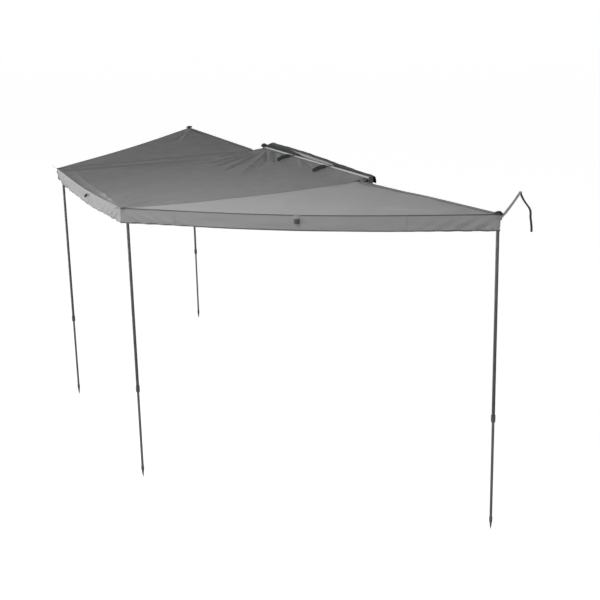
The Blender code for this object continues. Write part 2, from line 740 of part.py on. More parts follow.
def tongue_shape(slope):
    """An end arm's knuckle: a tongue between the fork's plates, a shoulder and a plug."""
    outline = [
        (TUBE_START - 0.012, -NECK_HALF_WIDTH),
        (TUBE_START - 0.012, NECK_HALF_WIDTH),
        *arc((0, 0), BOSS_RADIUS, 48, 312, 18),
    ]
    shape = prism(outline, -TONGUE_HEIGHT / 2, TONGUE_HEIGHT / 2, "XY")
    tilt = Matrix.Rotation(-slope, 4, "Y")
    section = rounded_rectangle(TUBE_WIDTH, TUBE_HEIGHT, TUBE_CORNER, 2)
    shoulder = prism(section, TUBE_START - 0.014, TUBE_START - SEAT_GAP, "YZ")
    stub = plug(TUBE_START - 0.005, TUBE_START + PLUG_LENGTH)
    shape = plus(shape, moved_to(shoulder, tilt), moved_to(stub, tilt))
    return less(shape, rod(PIN_RADIUS + PIN_GAP, -0.03, 0.03))


def arm_tube_shape(reach):
    end = reach - LEG_INSET - TIP_LENGTH - SEAT_GAP
    outer = prism(rounded_rectangle(TUBE_WIDTH, TUBE_HEIGHT, TUBE_CORNER), TUBE_START, end, "YZ")
    width, height = TUBE_WIDTH - 2 * TUBE_WALL, TUBE_HEIGHT - 2 * TUBE_WALL
    inner = rounded_rectangle(width, height, TUBE_CORNER - TUBE_WALL / 2)
    return less(outer, prism(inner, TUBE_START - 0.01, end + 0.01, "YZ"))


def tip_shape(loop_side):
    """Closes an arm's tube and carries the leg's pin between two ears. The origin is over the pin.

    Loop_side is 0, or the side on which an upright strap loop stands on the tip's end.
    """
    top, low = TUBE_HEIGHT / 2, -TUBE_HEIGHT / 2
    pin_z = low - LEG_DROP
    side_view = [
        (-TIP_LENGTH, low),
        (-TIP_LENGTH, top),
        *arc((TIP_NOSE - 0.006, top - 0.006), 0.006, 90, 0, 3),
        (TIP_NOSE, low),
        *arc((0, pin_z), EAR_RADIUS, 20, -200, 14),
        (-TIP_LENGTH * 0.6, low),
    ]
    shape = prism(side_view, -TIP_WIDTH / 2, TIP_WIDTH / 2)
    gap = TIP_WIDTH / 2 - EAR_THICKNESS
    shape = less(shape, block((-0.05, -gap, pin_z - 0.05), (0.05, gap, low - 0.004)))
    pin = rod(LEG_PIN_RADIUS, -gap - 0.002, gap + 0.002, 12)
    pin = moved_to(pin, Matrix.Translation((0, 0, pin_z)) @ TO_Y)
    shape = plus(shape, pin, plug(-TIP_LENGTH - PLUG_LENGTH, -TIP_LENGTH + 0.004))
    if not loop_side:
        return shape
    ys = sorted((loop_side * LOOP_INSET, loop_side * (LOOP_INSET + LOOP_PLATE)))
    outline = rounded_rectangle(LOOP_REACH + 0.006, LOOP_HEIGHT, 0.003)
    loop = prism([(TIP_NOSE + LOOP_REACH / 2 - 0.003 + a, b) for a, b in outline], *ys)
    slot = block(
        (TIP_NOSE + LOOP_BAR, ys[0] - 0.01, -WEBBING_WIDTH / 2 - 0.001),
        (TIP_NOSE + LOOP_REACH - LOOP_BAR, ys[1] + 0.01, WEBBING_WIDTH / 2 + 0.001),
    )
    return plus(shape, less(loop, slot))


def make_arm(name, body, alloy, cast, bright):
    arm = ARMS[name]
    end, kind = name.split("_")
    side = SIDES[end]
    if kind == "mid":
        add_piece(f"{name}_knuckle", fork_shape(side, arm.slope), cast, body, arm.level)
        pin = arm.level @ Matrix.Translation((0, side * NEST_PITCH, 0))
        add_piece(f"{end}_end_pin", pin_shape(), bright, body, pin)
    else:
        add_piece(f"{name}_knuckle", tongue_shape(arm.slope), cast, body, arm.level)
    add_piece(f"{name}_arm", arm_tube_shape(arm.reach), alloy, body, arm.sloped)
    loop_side = side if kind == "end" else 0
    add_piece(f"{name}_tip", tip_shape(loop_side), cast, body, arm.tip)


# Legs


def leg_head_shape():
    """The eye that hangs on the leg's pin, its neck, and a plug in the upper tube. The pin lies along Y."""
    half = HEAD_WIDTH / 2
    shoulder = -UPPER_START + SEAT_GAP
    neck = 0.0065
    eye = arc((0, 0), EAR_RADIUS - 0.001, -40, 220, 16)
    outline = [(-neck, shoulder + 0.001), (neck, shoulder + 0.001), *eye]
    eye = prism(outline, -half, half)
    rim = rod(UPPER_RADIUS - 0.0005, shoulder, shoulder + 0.005)
    inner = UPPER_RADIUS - LEG_WALL - SEAT_GAP
    stub = turned(
        [
            (0, -UPPER_START - HEAD_PLUG),
            (inner - 0.001, -UPPER_START - HEAD_PLUG),
            (inner, -UPPER_START - HEAD_PLUG + 0.002),
            (inner, shoulder + 0.001),
            (0, shoulder + 0.001),
        ],
        16,
    )
    shape = plus(eye, rim, stub)
    return less(shape, moved_to(rod(LEG_PIN_RADIUS + PIN_GAP, -0.02, 0.02, 16), TO_Y))


def tube_shape(radius, top, bottom, sides=16):
    inner = radius - LEG_WALL
    return turned([(radius, top), (radius, bottom), (inner, bottom), (inner, top)], sides, closed=True)


def collar_shape():
    """A ribbed twist lock: its upper bore takes the upper tube, its lower bore the lower tube."""
    top = COLLAR_LAP
    bottom = COLLAR_LAP - COLLAR_LENGTH
    wide = UPPER_RADIUS + SEAT_GAP
    narrow = LOWER_RADIUS + SEAT_GAP
    profile = [
        (wide, top),
        (COLLAR_RADIUS - 0.0010, top),
        (COLLAR_RADIUS, top - 0.002),
        (COLLAR_RADIUS, bottom + 0.008),
        (COLLAR_RADIUS - 0.0020, bottom),
        (narrow, bottom),
        (narrow, -SEAT_GAP),
        (wide, -SEAT_GAP),
    ]
    bm = turned(profile, 2 * COLLAR_RIBS, closed=True)
    for vert in bm.verts:
        angle = math.degrees(math.atan2(vert.co.y, vert.co.x)) % (360 / COLLAR_RIBS)
        if vert.co.xy.length > COLLAR_RADIUS - 0.0005 and angle > 90 / COLLAR_RIBS:
            vert.co.xy *= (COLLAR_RADIUS - 0.0006) / COLLAR_RADIUS
    return bm


def foot_shape():
    """A socket on the lower tube's end with a ground spike. The origin is the spike's point."""
    inner = LOWER_RADIUS + SEAT_GAP
    top = SPIKE_LENGTH + FOOT_HEIGHT
    floor = top - FOOT_SOCKET
    profile = [
        (0, 0),
        (SPIKE_RADIUS * 0.5, 0.006),
        (SPIKE_RADIUS, 0.016),
        (SPIKE_RADIUS, SPIKE_LENGTH),
        (FOOT_RADIUS - 0.002, SPIKE_LENGTH + 0.002),
        (FOOT_RADIUS, SPIKE_LENGTH + 0.008),
        (FOOT_RADIUS, top),
        (inner, top),
        (inner, floor),
        (0, floor),
    ]
    return turned(profile, 16)


def make_leg(name, bodies, alloy, plastic):
    arm = ARMS[name]
    leg = bodies[f"{name}_leg"]
    inner = bodies[f"{name}_inner_leg"]
    add_piece(f"{name}_leg_head", leg_head_shape(), plastic, leg, arm.leg)
    upper_end = -UPPER_START - UPPER_LENGTH
    add_piece(f"{name}_leg_upper", tube_shape(UPPER_RADIUS, -UPPER_START, upper_end), alloy, leg, arm.leg)
    collar = arm.leg @ Matrix.Translation((0, 0, upper_end))
    add_piece(f"{name}_leg_lock", collar_shape(), plastic, bodies[f"{name}_lock"], collar)
    ground = arm.leg @ Matrix.Translation((0, 0, -arm.leg_length))
    add_piece(f"{name}_leg_foot", foot_shape(), plastic, inner, ground)
    lower_end = SPIKE_LENGTH + FOOT_HEIGHT - FOOT_SOCKET + SEAT_GAP
    lower = tube_shape(LOWER_RADIUS, lower_end + LOWER_LENGTH, lower_end)
    add_piece(f"{name}_leg_lower", lower, alloy, inner, ground)


# Cloth


def arm_line(name, distance, aside=0.0):
    """A point on the cloth's upper side over an arm, this far along it and this far to its left."""
    arm = ARMS[name]
    point = arm.level @ Vector((distance, aside, 0))
    return Vector((point.x, point.y, arm.top_at(distance)))


def centre_edge(name, share):
    """The centre panel's side edge, from the rail (0) to the mid arm's corner (1)."""
    arm = ARMS[name]
    start = RAIL_X - RAIL_RADIUS
    corner = arm.level @ Vector((arm.reach, 0, 0))
    pin_x = arm.level.translation.x
    x = start + (corner.x - start) * share
    fall = smooth_step((x - (pin_x - 0.10)) / (start - 0.004 - (pin_x - 0.10)))
    height = arm.top_at(max(pin_x - x, 0.0))
    return Vector((x, arm.level.translation.y, height + (RAIL_Z + CLOTH / 2 - arm.top_at(0)) * fall))


def fold(distance, angle, count):
    """The height of the shallow folds that fan out from a hinge."""
    reach = math.exp(-(((distance - 0.30) / 0.30) ** 2))
    return FOLD_HEIGHT * reach * math.sin(angle * count)


def centre_surface(u, v):
    """The whole centre panel: u from the rail to the outer edge, v from the rear arm to the front arm."""
    share = u**1.25
    rear, front = centre_edge("rear_mid", share), centre_edge("front_mid", share)
    point = rear.lerp(front, v)
    across = 4 * v * (1 - v)
    point.z -= CENTRE_SAG * across**1.5 * (0.3 + 0.7 * share) * smooth_step(u * 5)
    away = Vector((point.x - FRONT_HINGE_X, point.y - HINGE_Y))
    angle = math.atan2(-away.y, -away.x)
    calm = smooth_step(angle * 3) * smooth_step(u * 6) * smooth_step(across * 2)
    point.z += fold(away.length, angle, 9) * calm
    return point


def wing_surface(end, s, t):
    """A wing: s from its mid arm to its end arm, t from its cut-off corner to its outer edge."""
    mid, tail = ARMS[f"{end}_mid"], ARMS[f"{end}_end"]
    side = SIDES[end]
    outside = side * (TUBE_WIDTH / 2 + HEM_OVERHANG)
    along = t**1.15
    a = arm_line(f"{end}_mid", WING_MID_START + (mid.reach - WING_MID_START) * along, side * CLOTH_SEAM)
    b = arm_line(f"{end}_end", WING_END_START + (tail.reach - WING_END_START) * along, outside)
    point = a.lerp(b, s)
    across = 4 * s * (1 - s)
    point.z -= WING_SAG * across**1.5 * along * along
    calm = across * smooth_step((1 - t) * 4) * smooth_step(t * 4)
    point.z += fold(mid.reach * along, s * math.pi, 4) * calm
    return point


def make_centre(body, fabric):
    """The centre panel in two halves that meet at its middle, each with its share of the bead and valance."""
    seam = CLOTH_SEAM / HINGE_SPACING
    columns = (12, 3)
    for name, low, high in (("rear", seam, 0.5 - seam / 2), ("front", 0.5 + seam / 2, 1 - seam)):

        def half(u, v, low=low, high=high):
            return centre_surface(u, low + (high - low) * v)

        share = VALANCE_SHARE["centre"]
        panel = cloth(sum(columns), 10, with_valance(half, columns, Vector((-1, 0, 0)), share, 3))
        first, last = sorted((half(0, 0).y, half(0, 1).y))
        rise = CLOTH * 0.4
        tongue = block(
            (RAIL_X - RAIL_RADIUS - 0.004, first + 0.0005, RAIL_Z - rise),
            (RAIL_X, last - 0.0005, RAIL_Z + rise),
        )
        bead = rod(BEAD_RADIUS, first + 0.001, last - 0.001, 12)
        bead = moved_to(bead, Matrix.Translation((RAIL_X, 0, RAIL_Z)) @ TO_Y)
        add_piece(f"centre_canopy_{name}", plus(panel, plus(tongue, bead)), fabric, body)


def make_wings(bodies, fabric):
    """Each wing with its valance, which stops short of the end arm's corner."""
    columns = (13, 3)
    for end in ("rear", "front"):
        edge = wing_surface(end, 1, 1) - wing_surface(end, 0, 1)
        outward = edge.cross(Vector((0, 0, SIDES[end])))
        outward = Vector((outward.x, outward.y, 0)).normalized()

        def wing(u, v, end=end):
            return wing_surface(end, v, u)

        surface = with_valance(wing, columns, outward, VALANCE_SHARE["wing"], 4)
        add_piece(f"{end}_wing_canopy", cloth(sum(columns), 13, surface), fabric, bodies[f"{end}_mid"])


# Travel cover and webbing


def make_cover(body, coated):
    """The cover's wall, unzipped and folded back: up from the board's back edge, over, and down."""
    start_x = BOARD_BACK + SEAT_GAP
    start_z = BRACKET_RISE + 0.003

    def surface(u, v):
        crest = COVER_CREST * smooth_step((v + 0.10) / 0.85) * smooth_step((1.03 - v) / 0.09)
        height = BOARD_TOP + crest - start_z
        route = [
            (start_x, start_z),
            (start_x, start_z + height * 0.35),
            (start_x + 0.004, start_z + height * 0.80),
            (start_x + 0.018, start_z + height),
            (start_x + 0.034, start_z + height * 0.75),
            (start_x + 0.044, BOARD_TOP - COVER_FALL * 0.4),
            (start_x + 0.046, BOARD_TOP - COVER_FALL),
        ]
        path = smooth_path([(x, 0, z) for x, z in route], 2)
        place = round(u * (len(path) - 1))
        along = (path[min(place + 1, len(path) - 1)] - path[max(place - 1, 0)]).normalized()
        ripple = 0.002 * math.sin(math.tau * 7 * v) * smooth_step(u * 2 - 0.4)
        front = path[place] + Vector((ripple, (v - 0.5) * COVER_LENGTH, 0))
        return front, front + COVER_THICKNESS * Vector((along.z, 0, -along.x))

    add_piece("travel_cover", cloth(12, 21, surface), coated, body)


def make_storage_straps(body, webbing):
    """Two straps that hold the folded arms, lying on the cloth with their ends tucked over."""
    for name, y in STORAGE_STRAP_PLACES.items():
        v = (y + HINGE_Y) / HINGE_SPACING
        on_cloth = [centre_surface(u, v) + Vector((0, 0, 0.004)) for u in (0.10, 0.13, 0.16, 0.19)]
        start = Vector((RAIL_X - RAIL_RADIUS - 0.001, y, RAIL_Z + RAIL_RADIUS + 0.0035))
        route = [
            Vector((BOARD_FRONT + 0.004, y, BOARD_TOP + 0.0016)),
            start,
            Vector((on_cloth[0].x, y + 0.004, on_cloth[0].z + 0.004)),
            Vector((on_cloth[1].x, y + 0.010, on_cloth[1].z)),
            Vector((on_cloth[2].x, y + 0.018, on_cloth[2].z)),
            Vector((on_cloth[3].x, y + 0.030, on_cloth[3].z)),
        ]
        half = Vector((0, STORAGE_STRAP_WIDTH / 2, 0))
        strap = ribbon(smooth_path(route, 4), lambda share, half=half: half, WEBBING)
        add_piece(f"storage_strap_{name}", strap, webbing, body)


def loop_place():
    """Where the tie starts, in the slot of the rear end arm's strap loop, against the loop's outer bar."""
    arm = ARMS["rear_end"]
    return arm.tip @ Vector((TIP_NOSE + LOOP_REACH - LOOP_BAR - 0.001, LOOP_INSET + 0.0012, 0))


def make_tie(bodies, webbing, plastic):
    """The webbing tie from the rear corner to the rack's far rear corner, its hook and its loose tail."""
    body = bodies["rear_end"]
    start, hook = loop_place(), Vector(HOOK_PLACE)
    along = (hook - start).normalized()
    level = along.cross(Vector((0, 0, 1))).normalized()
    end = hook - along * (ADJUSTER_LENGTH / 2 + SEAT_GAP)

    def across(share):
        turn = math.radians(30 * smooth_step(share / 0.25) + 60 * smooth_step((share - 0.7) / 0.3))
        return (Vector((0, 0, math.cos(turn))) - level * math.sin(turn)) * WEBBING_WIDTH / 2

    steps = 48
    path = []
    for i in range(steps + 1):
        sag = TIE_SAG * 4 * i * (steps - i) / steps**2
        path.append(start.lerp(end, i / steps) - Vector((0, 0, sag)))
    add_piece("tie_strap", ribbon(path, across, WEBBING), webbing, body)
    sideways = Vector((level.x, level.y, 0)).normalized()
    below = hook - level.cross(along).normalized() * (ADJUSTER_THICKNESS / 2 + SEAT_GAP)
    route = [below + sideways * a + Vector((0, 0, b)) for a, b in TAIL_ROUTE]
    facing = Vector((along.x, along.y, 0)).normalized()

    def tail_across(share):
        turn = math.radians(50 * smooth_step(share * 3))
        return (sideways * math.cos(turn) + facing * math.sin(turn)) * WEBBING_WIDTH / 2

    add_piece("tie_tail", ribbon(smooth_path(route, 3), tail_across, WEBBING), webbing, body)
    add_piece("tie_hook", hook_shape(), plastic, body, hook_matrix(hook, along, level))


def hook_matrix(place, along, level):
    up = level.cross(along).normalized()
    return Matrix(
        [
            (along.x, level.x, up.x, place.x),
            (along.y, level.y, up.y, place.y),
            (along.z, level.z, up.z, place.z),
            (0, 0, 0, 1),
        ]
    )


def hook_shape():
    """A three-bar adjuster with a wire hook beyond it, along X."""
    half = ADJUSTER_LENGTH / 2
    width = WEBBING_WIDTH + 0.008
    thick = ADJUSTER_THICKNESS / 2
    plate = prism(rounded_rectangle(ADJUSTER_LENGTH, width, 0.003), -thick, thick, "XY")
    gap = (ADJUSTER_LENGTH - 3 * ADJUSTER_BAR) / 2
    slots = []
    reach = WEBBING_WIDTH / 2 + 0.001
    for start in (-half + ADJUSTER_BAR, ADJUSTER_BAR / 2):
        slots.append(block((start, -reach, -0.01), (start + gap, reach, 0.01)))
    plate = less(plate, gathered(slots))
    route = [(half - 0.003, 0), (half + HOOK_SHANK, 0)]
    route += arc((half + HOOK_SHANK, -HOOK_BEND_RADIUS), HOOK_BEND_RADIUS, 75, -120, 12)
    points = [Vector((x, 0, z)) for x, z in route]
    bm = bmesh.new()
    rings = []
    for i, point in enumerate(points):
        along = (points[min(i + 1, len(points) - 1)] - points[max(i - 1, 0)]).normalized()
        up = Vector((0, 1, 0)).cross(along)
        ring = []
        for k in range(8):
            angle = math.tau * k / 8
            offset = math.cos(angle) * Vector((0, 1, 0)) + math.sin(angle) * up
            ring.append(bm.verts.new(point + HOOK_WIRE_RADIUS * offset))
        rings.append(ring)
    for a, b in zip(rings, rings[1:]):
        for k in range(8):
            bm.faces.new((a[k], a[(k + 1) % 8], b[(k + 1) % 8], b[k]))
    bm.faces.new(rings[0][::-1])
    bm.faces.new(rings[-1])
    return plus(plate, bm)


# The whole awning


def make_bodies():
    bodies = {"board": make_body("board", Matrix.Identity(4))}
    for name, parent in PARENTS.items():
        bodies[name] = make_body(name, ARMS[name].level, bodies[parent])
    for name, arm in ARMS.items():
        leg = make_body(f"{name}_leg", arm.leg, bodies[name])
        bodies[f"{name}_leg"] = leg
        collar = arm.leg @ Matrix.Translation((0, 0, -COLLAR_CENTRE))
        bodies[f"{name}_lock"] = make_body(f"{name}_lock", collar, leg)
        bodies[f"{name}_inner_leg"] = make_body(f"{name}_inner_leg", collar, leg)
    return bodies


def main():
    clear_scene()
    alloy = make_material("black_alloy", (0.045, 0.045, 0.048), 0.45, 0.6)
    rail = make_material("bare_alloy", (0.62, 0.63, 0.64), 0.35, 0.9)
    cast = make_material("black_casting", (0.030, 0.030, 0.032), 0.55)
    steel = make_material("coated_steel", (0.035, 0.035, 0.037), 0.5, 0.3)
    bright = make_material("zinc_steel", (0.60, 0.60, 0.58), 0.35, 1.0)
    plastic = make_material("black_plastic", (0.028, 0.028, 0.030), 0.6)
    fabric = make_material("grey_canopy", (0.165, 0.165, 0.165), 0.85)
    coated = make_material("coated_cover", (0.055, 0.055, 0.058), 0.6)
    webbing = make_material("webbing", (0.09, 0.09, 0.09), 0.9)
    pale_webbing = make_material("pale_webbing", (0.34, 0.34, 0.33), 0.85)

    bodies = make_bodies()
    board = bodies["board"]
    make_board(board, alloy)
    make_rail(board, rail)
    make_end_caps(board, plastic)
    make_brackets(board, steel, bright)
    make_hinges(board, cast, bright)
    for name in ARMS:
        make_arm(name, bodies[name], alloy, cast, bright)
        make_leg(name, bodies, alloy, plastic)
    make_centre(board, fabric)
    make_wings(bodies, fabric)
    make_cover(board, coated)
    make_storage_straps(board, webbing)
    make_tie(bodies, pale_webbing, plastic)


main()
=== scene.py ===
"""Dresses a side awning: coated cloth over four arms, black legs, straps and a folded-back cover.

Metres, +Z up. The origin is under the centre bracket's foot, +Y runs along the board to its front end and
-X is the way that the roof opens. Each group of pieces has an operator, which the panel in the 3D view's
sidebar lists.
"""

import functools
import json
import math

import bmesh
import bpy
import numpy as np
from mathutils import Matrix, Vector


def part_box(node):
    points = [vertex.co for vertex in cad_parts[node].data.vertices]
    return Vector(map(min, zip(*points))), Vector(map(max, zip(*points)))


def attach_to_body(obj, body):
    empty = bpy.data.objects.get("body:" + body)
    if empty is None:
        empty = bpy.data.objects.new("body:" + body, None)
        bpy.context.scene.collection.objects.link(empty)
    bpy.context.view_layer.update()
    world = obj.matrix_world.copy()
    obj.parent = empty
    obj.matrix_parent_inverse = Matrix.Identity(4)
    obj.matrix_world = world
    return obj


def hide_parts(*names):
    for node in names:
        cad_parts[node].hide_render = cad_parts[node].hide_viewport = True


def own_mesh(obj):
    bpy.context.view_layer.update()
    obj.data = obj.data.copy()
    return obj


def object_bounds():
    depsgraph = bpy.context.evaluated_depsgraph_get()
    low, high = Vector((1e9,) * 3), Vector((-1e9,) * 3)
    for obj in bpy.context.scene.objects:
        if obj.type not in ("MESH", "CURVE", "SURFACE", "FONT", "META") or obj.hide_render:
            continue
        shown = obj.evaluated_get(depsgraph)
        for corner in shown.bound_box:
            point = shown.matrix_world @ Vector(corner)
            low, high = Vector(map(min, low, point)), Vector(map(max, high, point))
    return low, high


bl_info = {
    "name": "Side Awning",
    "version": (1, 0, 0),
    "blender": (4, 5, 0),
    "location": "3D View > Sidebar > Awning",
    "description": "Builds the cloth, straps, finishes and stage of a folding side awning",
    "category": "Object",
}

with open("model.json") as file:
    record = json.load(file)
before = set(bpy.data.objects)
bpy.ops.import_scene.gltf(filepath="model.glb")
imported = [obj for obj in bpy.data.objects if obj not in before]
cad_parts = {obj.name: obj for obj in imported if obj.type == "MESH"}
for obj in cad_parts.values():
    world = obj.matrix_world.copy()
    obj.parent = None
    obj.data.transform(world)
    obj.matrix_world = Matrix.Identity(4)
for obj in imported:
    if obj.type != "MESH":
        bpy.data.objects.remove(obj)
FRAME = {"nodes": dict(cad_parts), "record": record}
CAD_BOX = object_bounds()
NODES = FRAME["nodes"]
BODY_OF = {node: body for body, nodes in FRAME["record"]["behaviour"]["bodies"].items() for node in nodes}

# Places that the frame gives
GROUND = CAD_BOX[0].z
BOARD_LOW, BOARD_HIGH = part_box("back_board")
BRACKET_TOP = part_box("bracket_centre")[1].z

# Sizes that the solids have too
ARM_AXIS = 0.097
NEST_PITCH = 0.028
HINGE_Y = 1.03
REAR_HINGE_X = -0.159
FRONT_HINGE_X = -0.215
ARM_REACH = 1.90
TUBE_HEIGHT = 0.040
TUBE_WIDTH = 0.022
TIP_RISE = {"rear_mid": -0.036, "rear_end": 0.054, "front_mid": -0.019, "front_end": 0.026}
TIP_NOSE = 0.012
LOOP_REACH = 0.018
LOOP_BAR = 0.0045
LOOP_INSET = 0.006
LEG_INSET = 0.045
LEG_DROP = 0.035
LEG_WALL = 0.0015
UPPER_RADIUS = 0.011
UPPER_START = 0.028
UPPER_LENGTH = 1.252
LOWER_RADIUS = 0.009
LOWER_LENGTH = 1.20
COLLAR_LENGTH = 0.044
COLLAR_LAP = 0.022
FOOT_RADIUS = 0.011
FOOT_HEIGHT = 0.040
FOOT_SOCKET = 0.026
SPIKE_RADIUS = 0.003
SPIKE_LENGTH = 0.055
RAIL_X = -0.1085
RAIL_Z = 0.137
RAIL_RADIUS = 0.0056
BEAD_RADIUS = 0.0033
CLOTH = 0.0016
CLOTH_LIFT = 0.0017
CLOTH_TOP = TUBE_HEIGHT / 2 + CLOTH_LIFT + CLOTH
CENTRE_SAG = 0.024
VALANCE_HEIGHT = 0.105
VALANCE_WAVE = 0.004
VALANCE_CUT = 0.70  # share of its height that the valance loses at the front mid arm's corner
VALANCE_CUT_REACH = 0.12
WING_MID_START = 0.065  # pin to the wing's cut-off corner, along the mid arm
WING_END_START = 0.070  # the same, along the end arm
HEM_OVERHANG = 0.001
COVER_LENGTH = 2.110
COVER_THICKNESS = 0.0020
COVER_CREST = 0.041
COVER_FALL = 0.055
WEBBING = 0.0018
WEBBING_WIDTH = 0.020
STORAGE_STRAP_WIDTH = 0.025
STORAGE_STRAP_LEAN = 72
STORAGE_STRAP_PLACES = {"rear": -0.36, "front": 0.38}
HOOK_PLACE = Vector((1.437, -0.847, -0.136))
ADJUSTER_LENGTH = 0.034
ADJUSTER_THICKNESS = 0.0036
TIE_SAG = 0.008
TAIL_ROUTE = (  # from the adjuster's middle bar: sideways, then up
    (0.0, 0.0),
    (0.004, -0.016),
    (0.014, -0.040),
    (0.030, -0.070),
    (0.054, -0.104),
    (0.077, -0.136),
    (0.088, -0.168),
    (0.089, -0.210),
    (0.095, -0.255),
    (0.100, -0.300),
    (0.101, -0.340),
)

# The tie's points, where in the tip's loop it starts, its turns in degrees near the arm and then near the
# hook, the shares of its length where the first ends and the second starts, and its tail's turn
TIE_STEPS = 72
TIE_START = (-0.001, 0.0012)
TIE_TURNS = (30, 60)
TIE_TURN_PLACES = (0.25, 0.7)
TAIL_TURN = 20
SEAT_GAP = 0.0003  # between two pieces that rest on each other

# The cloth as the photo shows it
SIDES = {"rear": 1, "front": -1}  # which side of its mid arm a wing lies on, in that arm's frame
WING_SAG = {"rear": 0.027, "front": 0.015}
HEM_INBOARD = 0.045  # how far the rear wing's edge lies inboard beside its hinge
SEAM_BOW = 0.198  # share of the wing's width by which the rear seam bows past the arm
SEAM_END = 0.012
SEAM_COLUMNS = 0.12  # share of the rear wing's grid that the centre's cloth takes
VALANCE_END = 0.993  # share of the hem above it that a wing's valance reaches
VALANCE_ROWS = 12
VALANCE_SEAMS = (0.158, 0.77)
CORNER_BLEND = 0.09  # distance from a mid corner over which two valances come to face alike
DRAG_DEPTH = 0.0085
DRAG_REACH = 0.50
DRAG_CLEAR = 0.10
DRAG_SPACING = 0.125
DRAG_SLANT = 1.5

# Sewing: widths and insets, how far tapes and stitches lie above the cloth, and the grids along the hems
BOTTOM_HEM = 0.008
BOTTOM_HEM_LAP = 0.0006  # how far it reaches below the valance's edge
HEM_STITCH_PLACE = 0.75  # from a hem's edge, as a share of its tape's width
END_HEM_SHARE = 0.6  # the end hem's width and the binding's fall, as shares of the hem tape's width
WELT_INSET = 0.034
WELT_WIDTH = 0.006
VALANCE_SEAM_WIDTH = 0.008
VALANCE_SEAM_SPAN = (0.10, 0.78)  # where it starts down the valance and how far it runs, as shares
VALANCE_STITCH_ASIDE = 0.0022
END_STITCH_INSETS = (0.0085, 0.0300)
END_STITCH_LIFT = 0.0012
SEAM_STITCH_PLACES = (-0.006, 0.006)
SEAM_STITCH_LIFT = 0.0013
HEM_STITCH_LIFT = 0.0010
TAPE_LIFT = 0.0008
TAPE_THICKNESS = 0.0010
THICK_TAPE = 0.0012  # a welt or a patch
CUT_HEM_INSET = 0.85  # share of its half width that the cut-off corner's tape lies inboard
SEAM_LIFT = 0.0007
BINDING_SINK = 0.0002
THREAD_SIZE = (0.0010, 0.0008)
CENTRE_HEM_STEPS = 60
WING_HEM_STEPS = 100
ARM_HEM_STEPS = 60

# Lock and foot: how far each point lies inside the radius, and its height from the nearest end. The
# taper's heights are from the spike's top.
COLLAR_RADIUS = 0.0148
COLLAR_TOP = ((0.0014, 0.0), (0.0004, -0.0008), (0.0004, -0.0050), (0.0012, -0.0062))
COLLAR_BOTTOM = ((0.0012, 0.0150), (0.0003, 0.0138), (0.0003, 0.0080), (0.0016, 0.0016), (0.0024, 0.0))
GRIP_RIBS = 20
GRIP_ENDS = (0.0155, -0.0067)  # from the lock's bottom and from its top
GRIP_INSET = 0.0012
GRIP_RIB = (0.0210, 0.0215, 0.0016, 0.0016)  # one to a path: the spacing, then its length, width and height
FOOT_TAPER = ((0.0040, -0.0130), (0.0024, 0.0012), (0.0006, 0.0050), (0.0, 0.0090))
FOOT_GROOVE = ((0, -0.0130), (0.0006, -0.0122), (0.0006, -0.0102), (0, -0.0094), (0, -0.0008), (0.0006, 0))

# Nodes that are finished copies: a word in their name, their finish and how far their edges are eased
HARDWARE = (
    ("back_board", "alloy", 0.0004),
    ("keder_rail", "rail", 0.0),
    ("end_cap", "plastic", 0.0010),
    ("bracket_studs", "zinc", 0.0003),
    ("hinge_bolts", "zinc", 0.0003),
    ("hinge_bracket", "casting", 0.0006),
    ("bracket_", "steel", 0.0005),
    ("pin", "zinc", 0.0003),
    ("_arm", "alloy", 0.0),
    ("knuckle", "casting", 0.0006),
    ("_tip", "casting", 0.0006),
    ("leg_head", "plastic", 0.0006),
)

# The travel cover's wall as far as it shows, its grid, the shares of its length where its lining shows and
# where painted shade in the cover's dark finish rises over the lining towards the front end, its zip and its
# gathered end
COVER_STEPS = 6
COVER_ROWS = 160
LINING_START = 0.29
LINING_SHADE_SPAN = (0.42, 0.90)
COVER_COLUMN = 0.006
ZIP_LIFT = Vector((-0.0012, 0, 0.0008))
ZIP_SIDE = Vector((0.010, 0, 0.007))
ZIP_THICKNESS = 0.0014
TEETH_LIFT = Vector((-0.003, 0, 0.0012))
TOOTH_SECTION = (0.0050, 0.0028)
COVER_END_SIZE = (0.028, 0.035, 0.020)
COVER_END_PLACE = Vector((-0.095, 1.095, 0.150))

# Guy-line tabs: where on the hem, share of the valance down, width, reach out and down, patch's width, twist
# in degrees and the loop's bulge
CENTRE_TAB_Y = -0.080
CENTRE_TAB = (0.25, 0.020, (0.029, -0.014), 0.0, 75, 0.0021)
WING_TAB_SHARE = 0.4938
WING_TAB = (0.25, 0.033, (0.016, -0.030), 0.044, 0, 0.007)
TAB_ROUND = (0.03, 0.94)  # where on its round a tab's loop starts and how far it goes, as shares
PATCH_LIFT = 0.0010
PATCH_TAPER = (0.58, 0.46)  # its half width at the top and at the bottom, as shares of its size

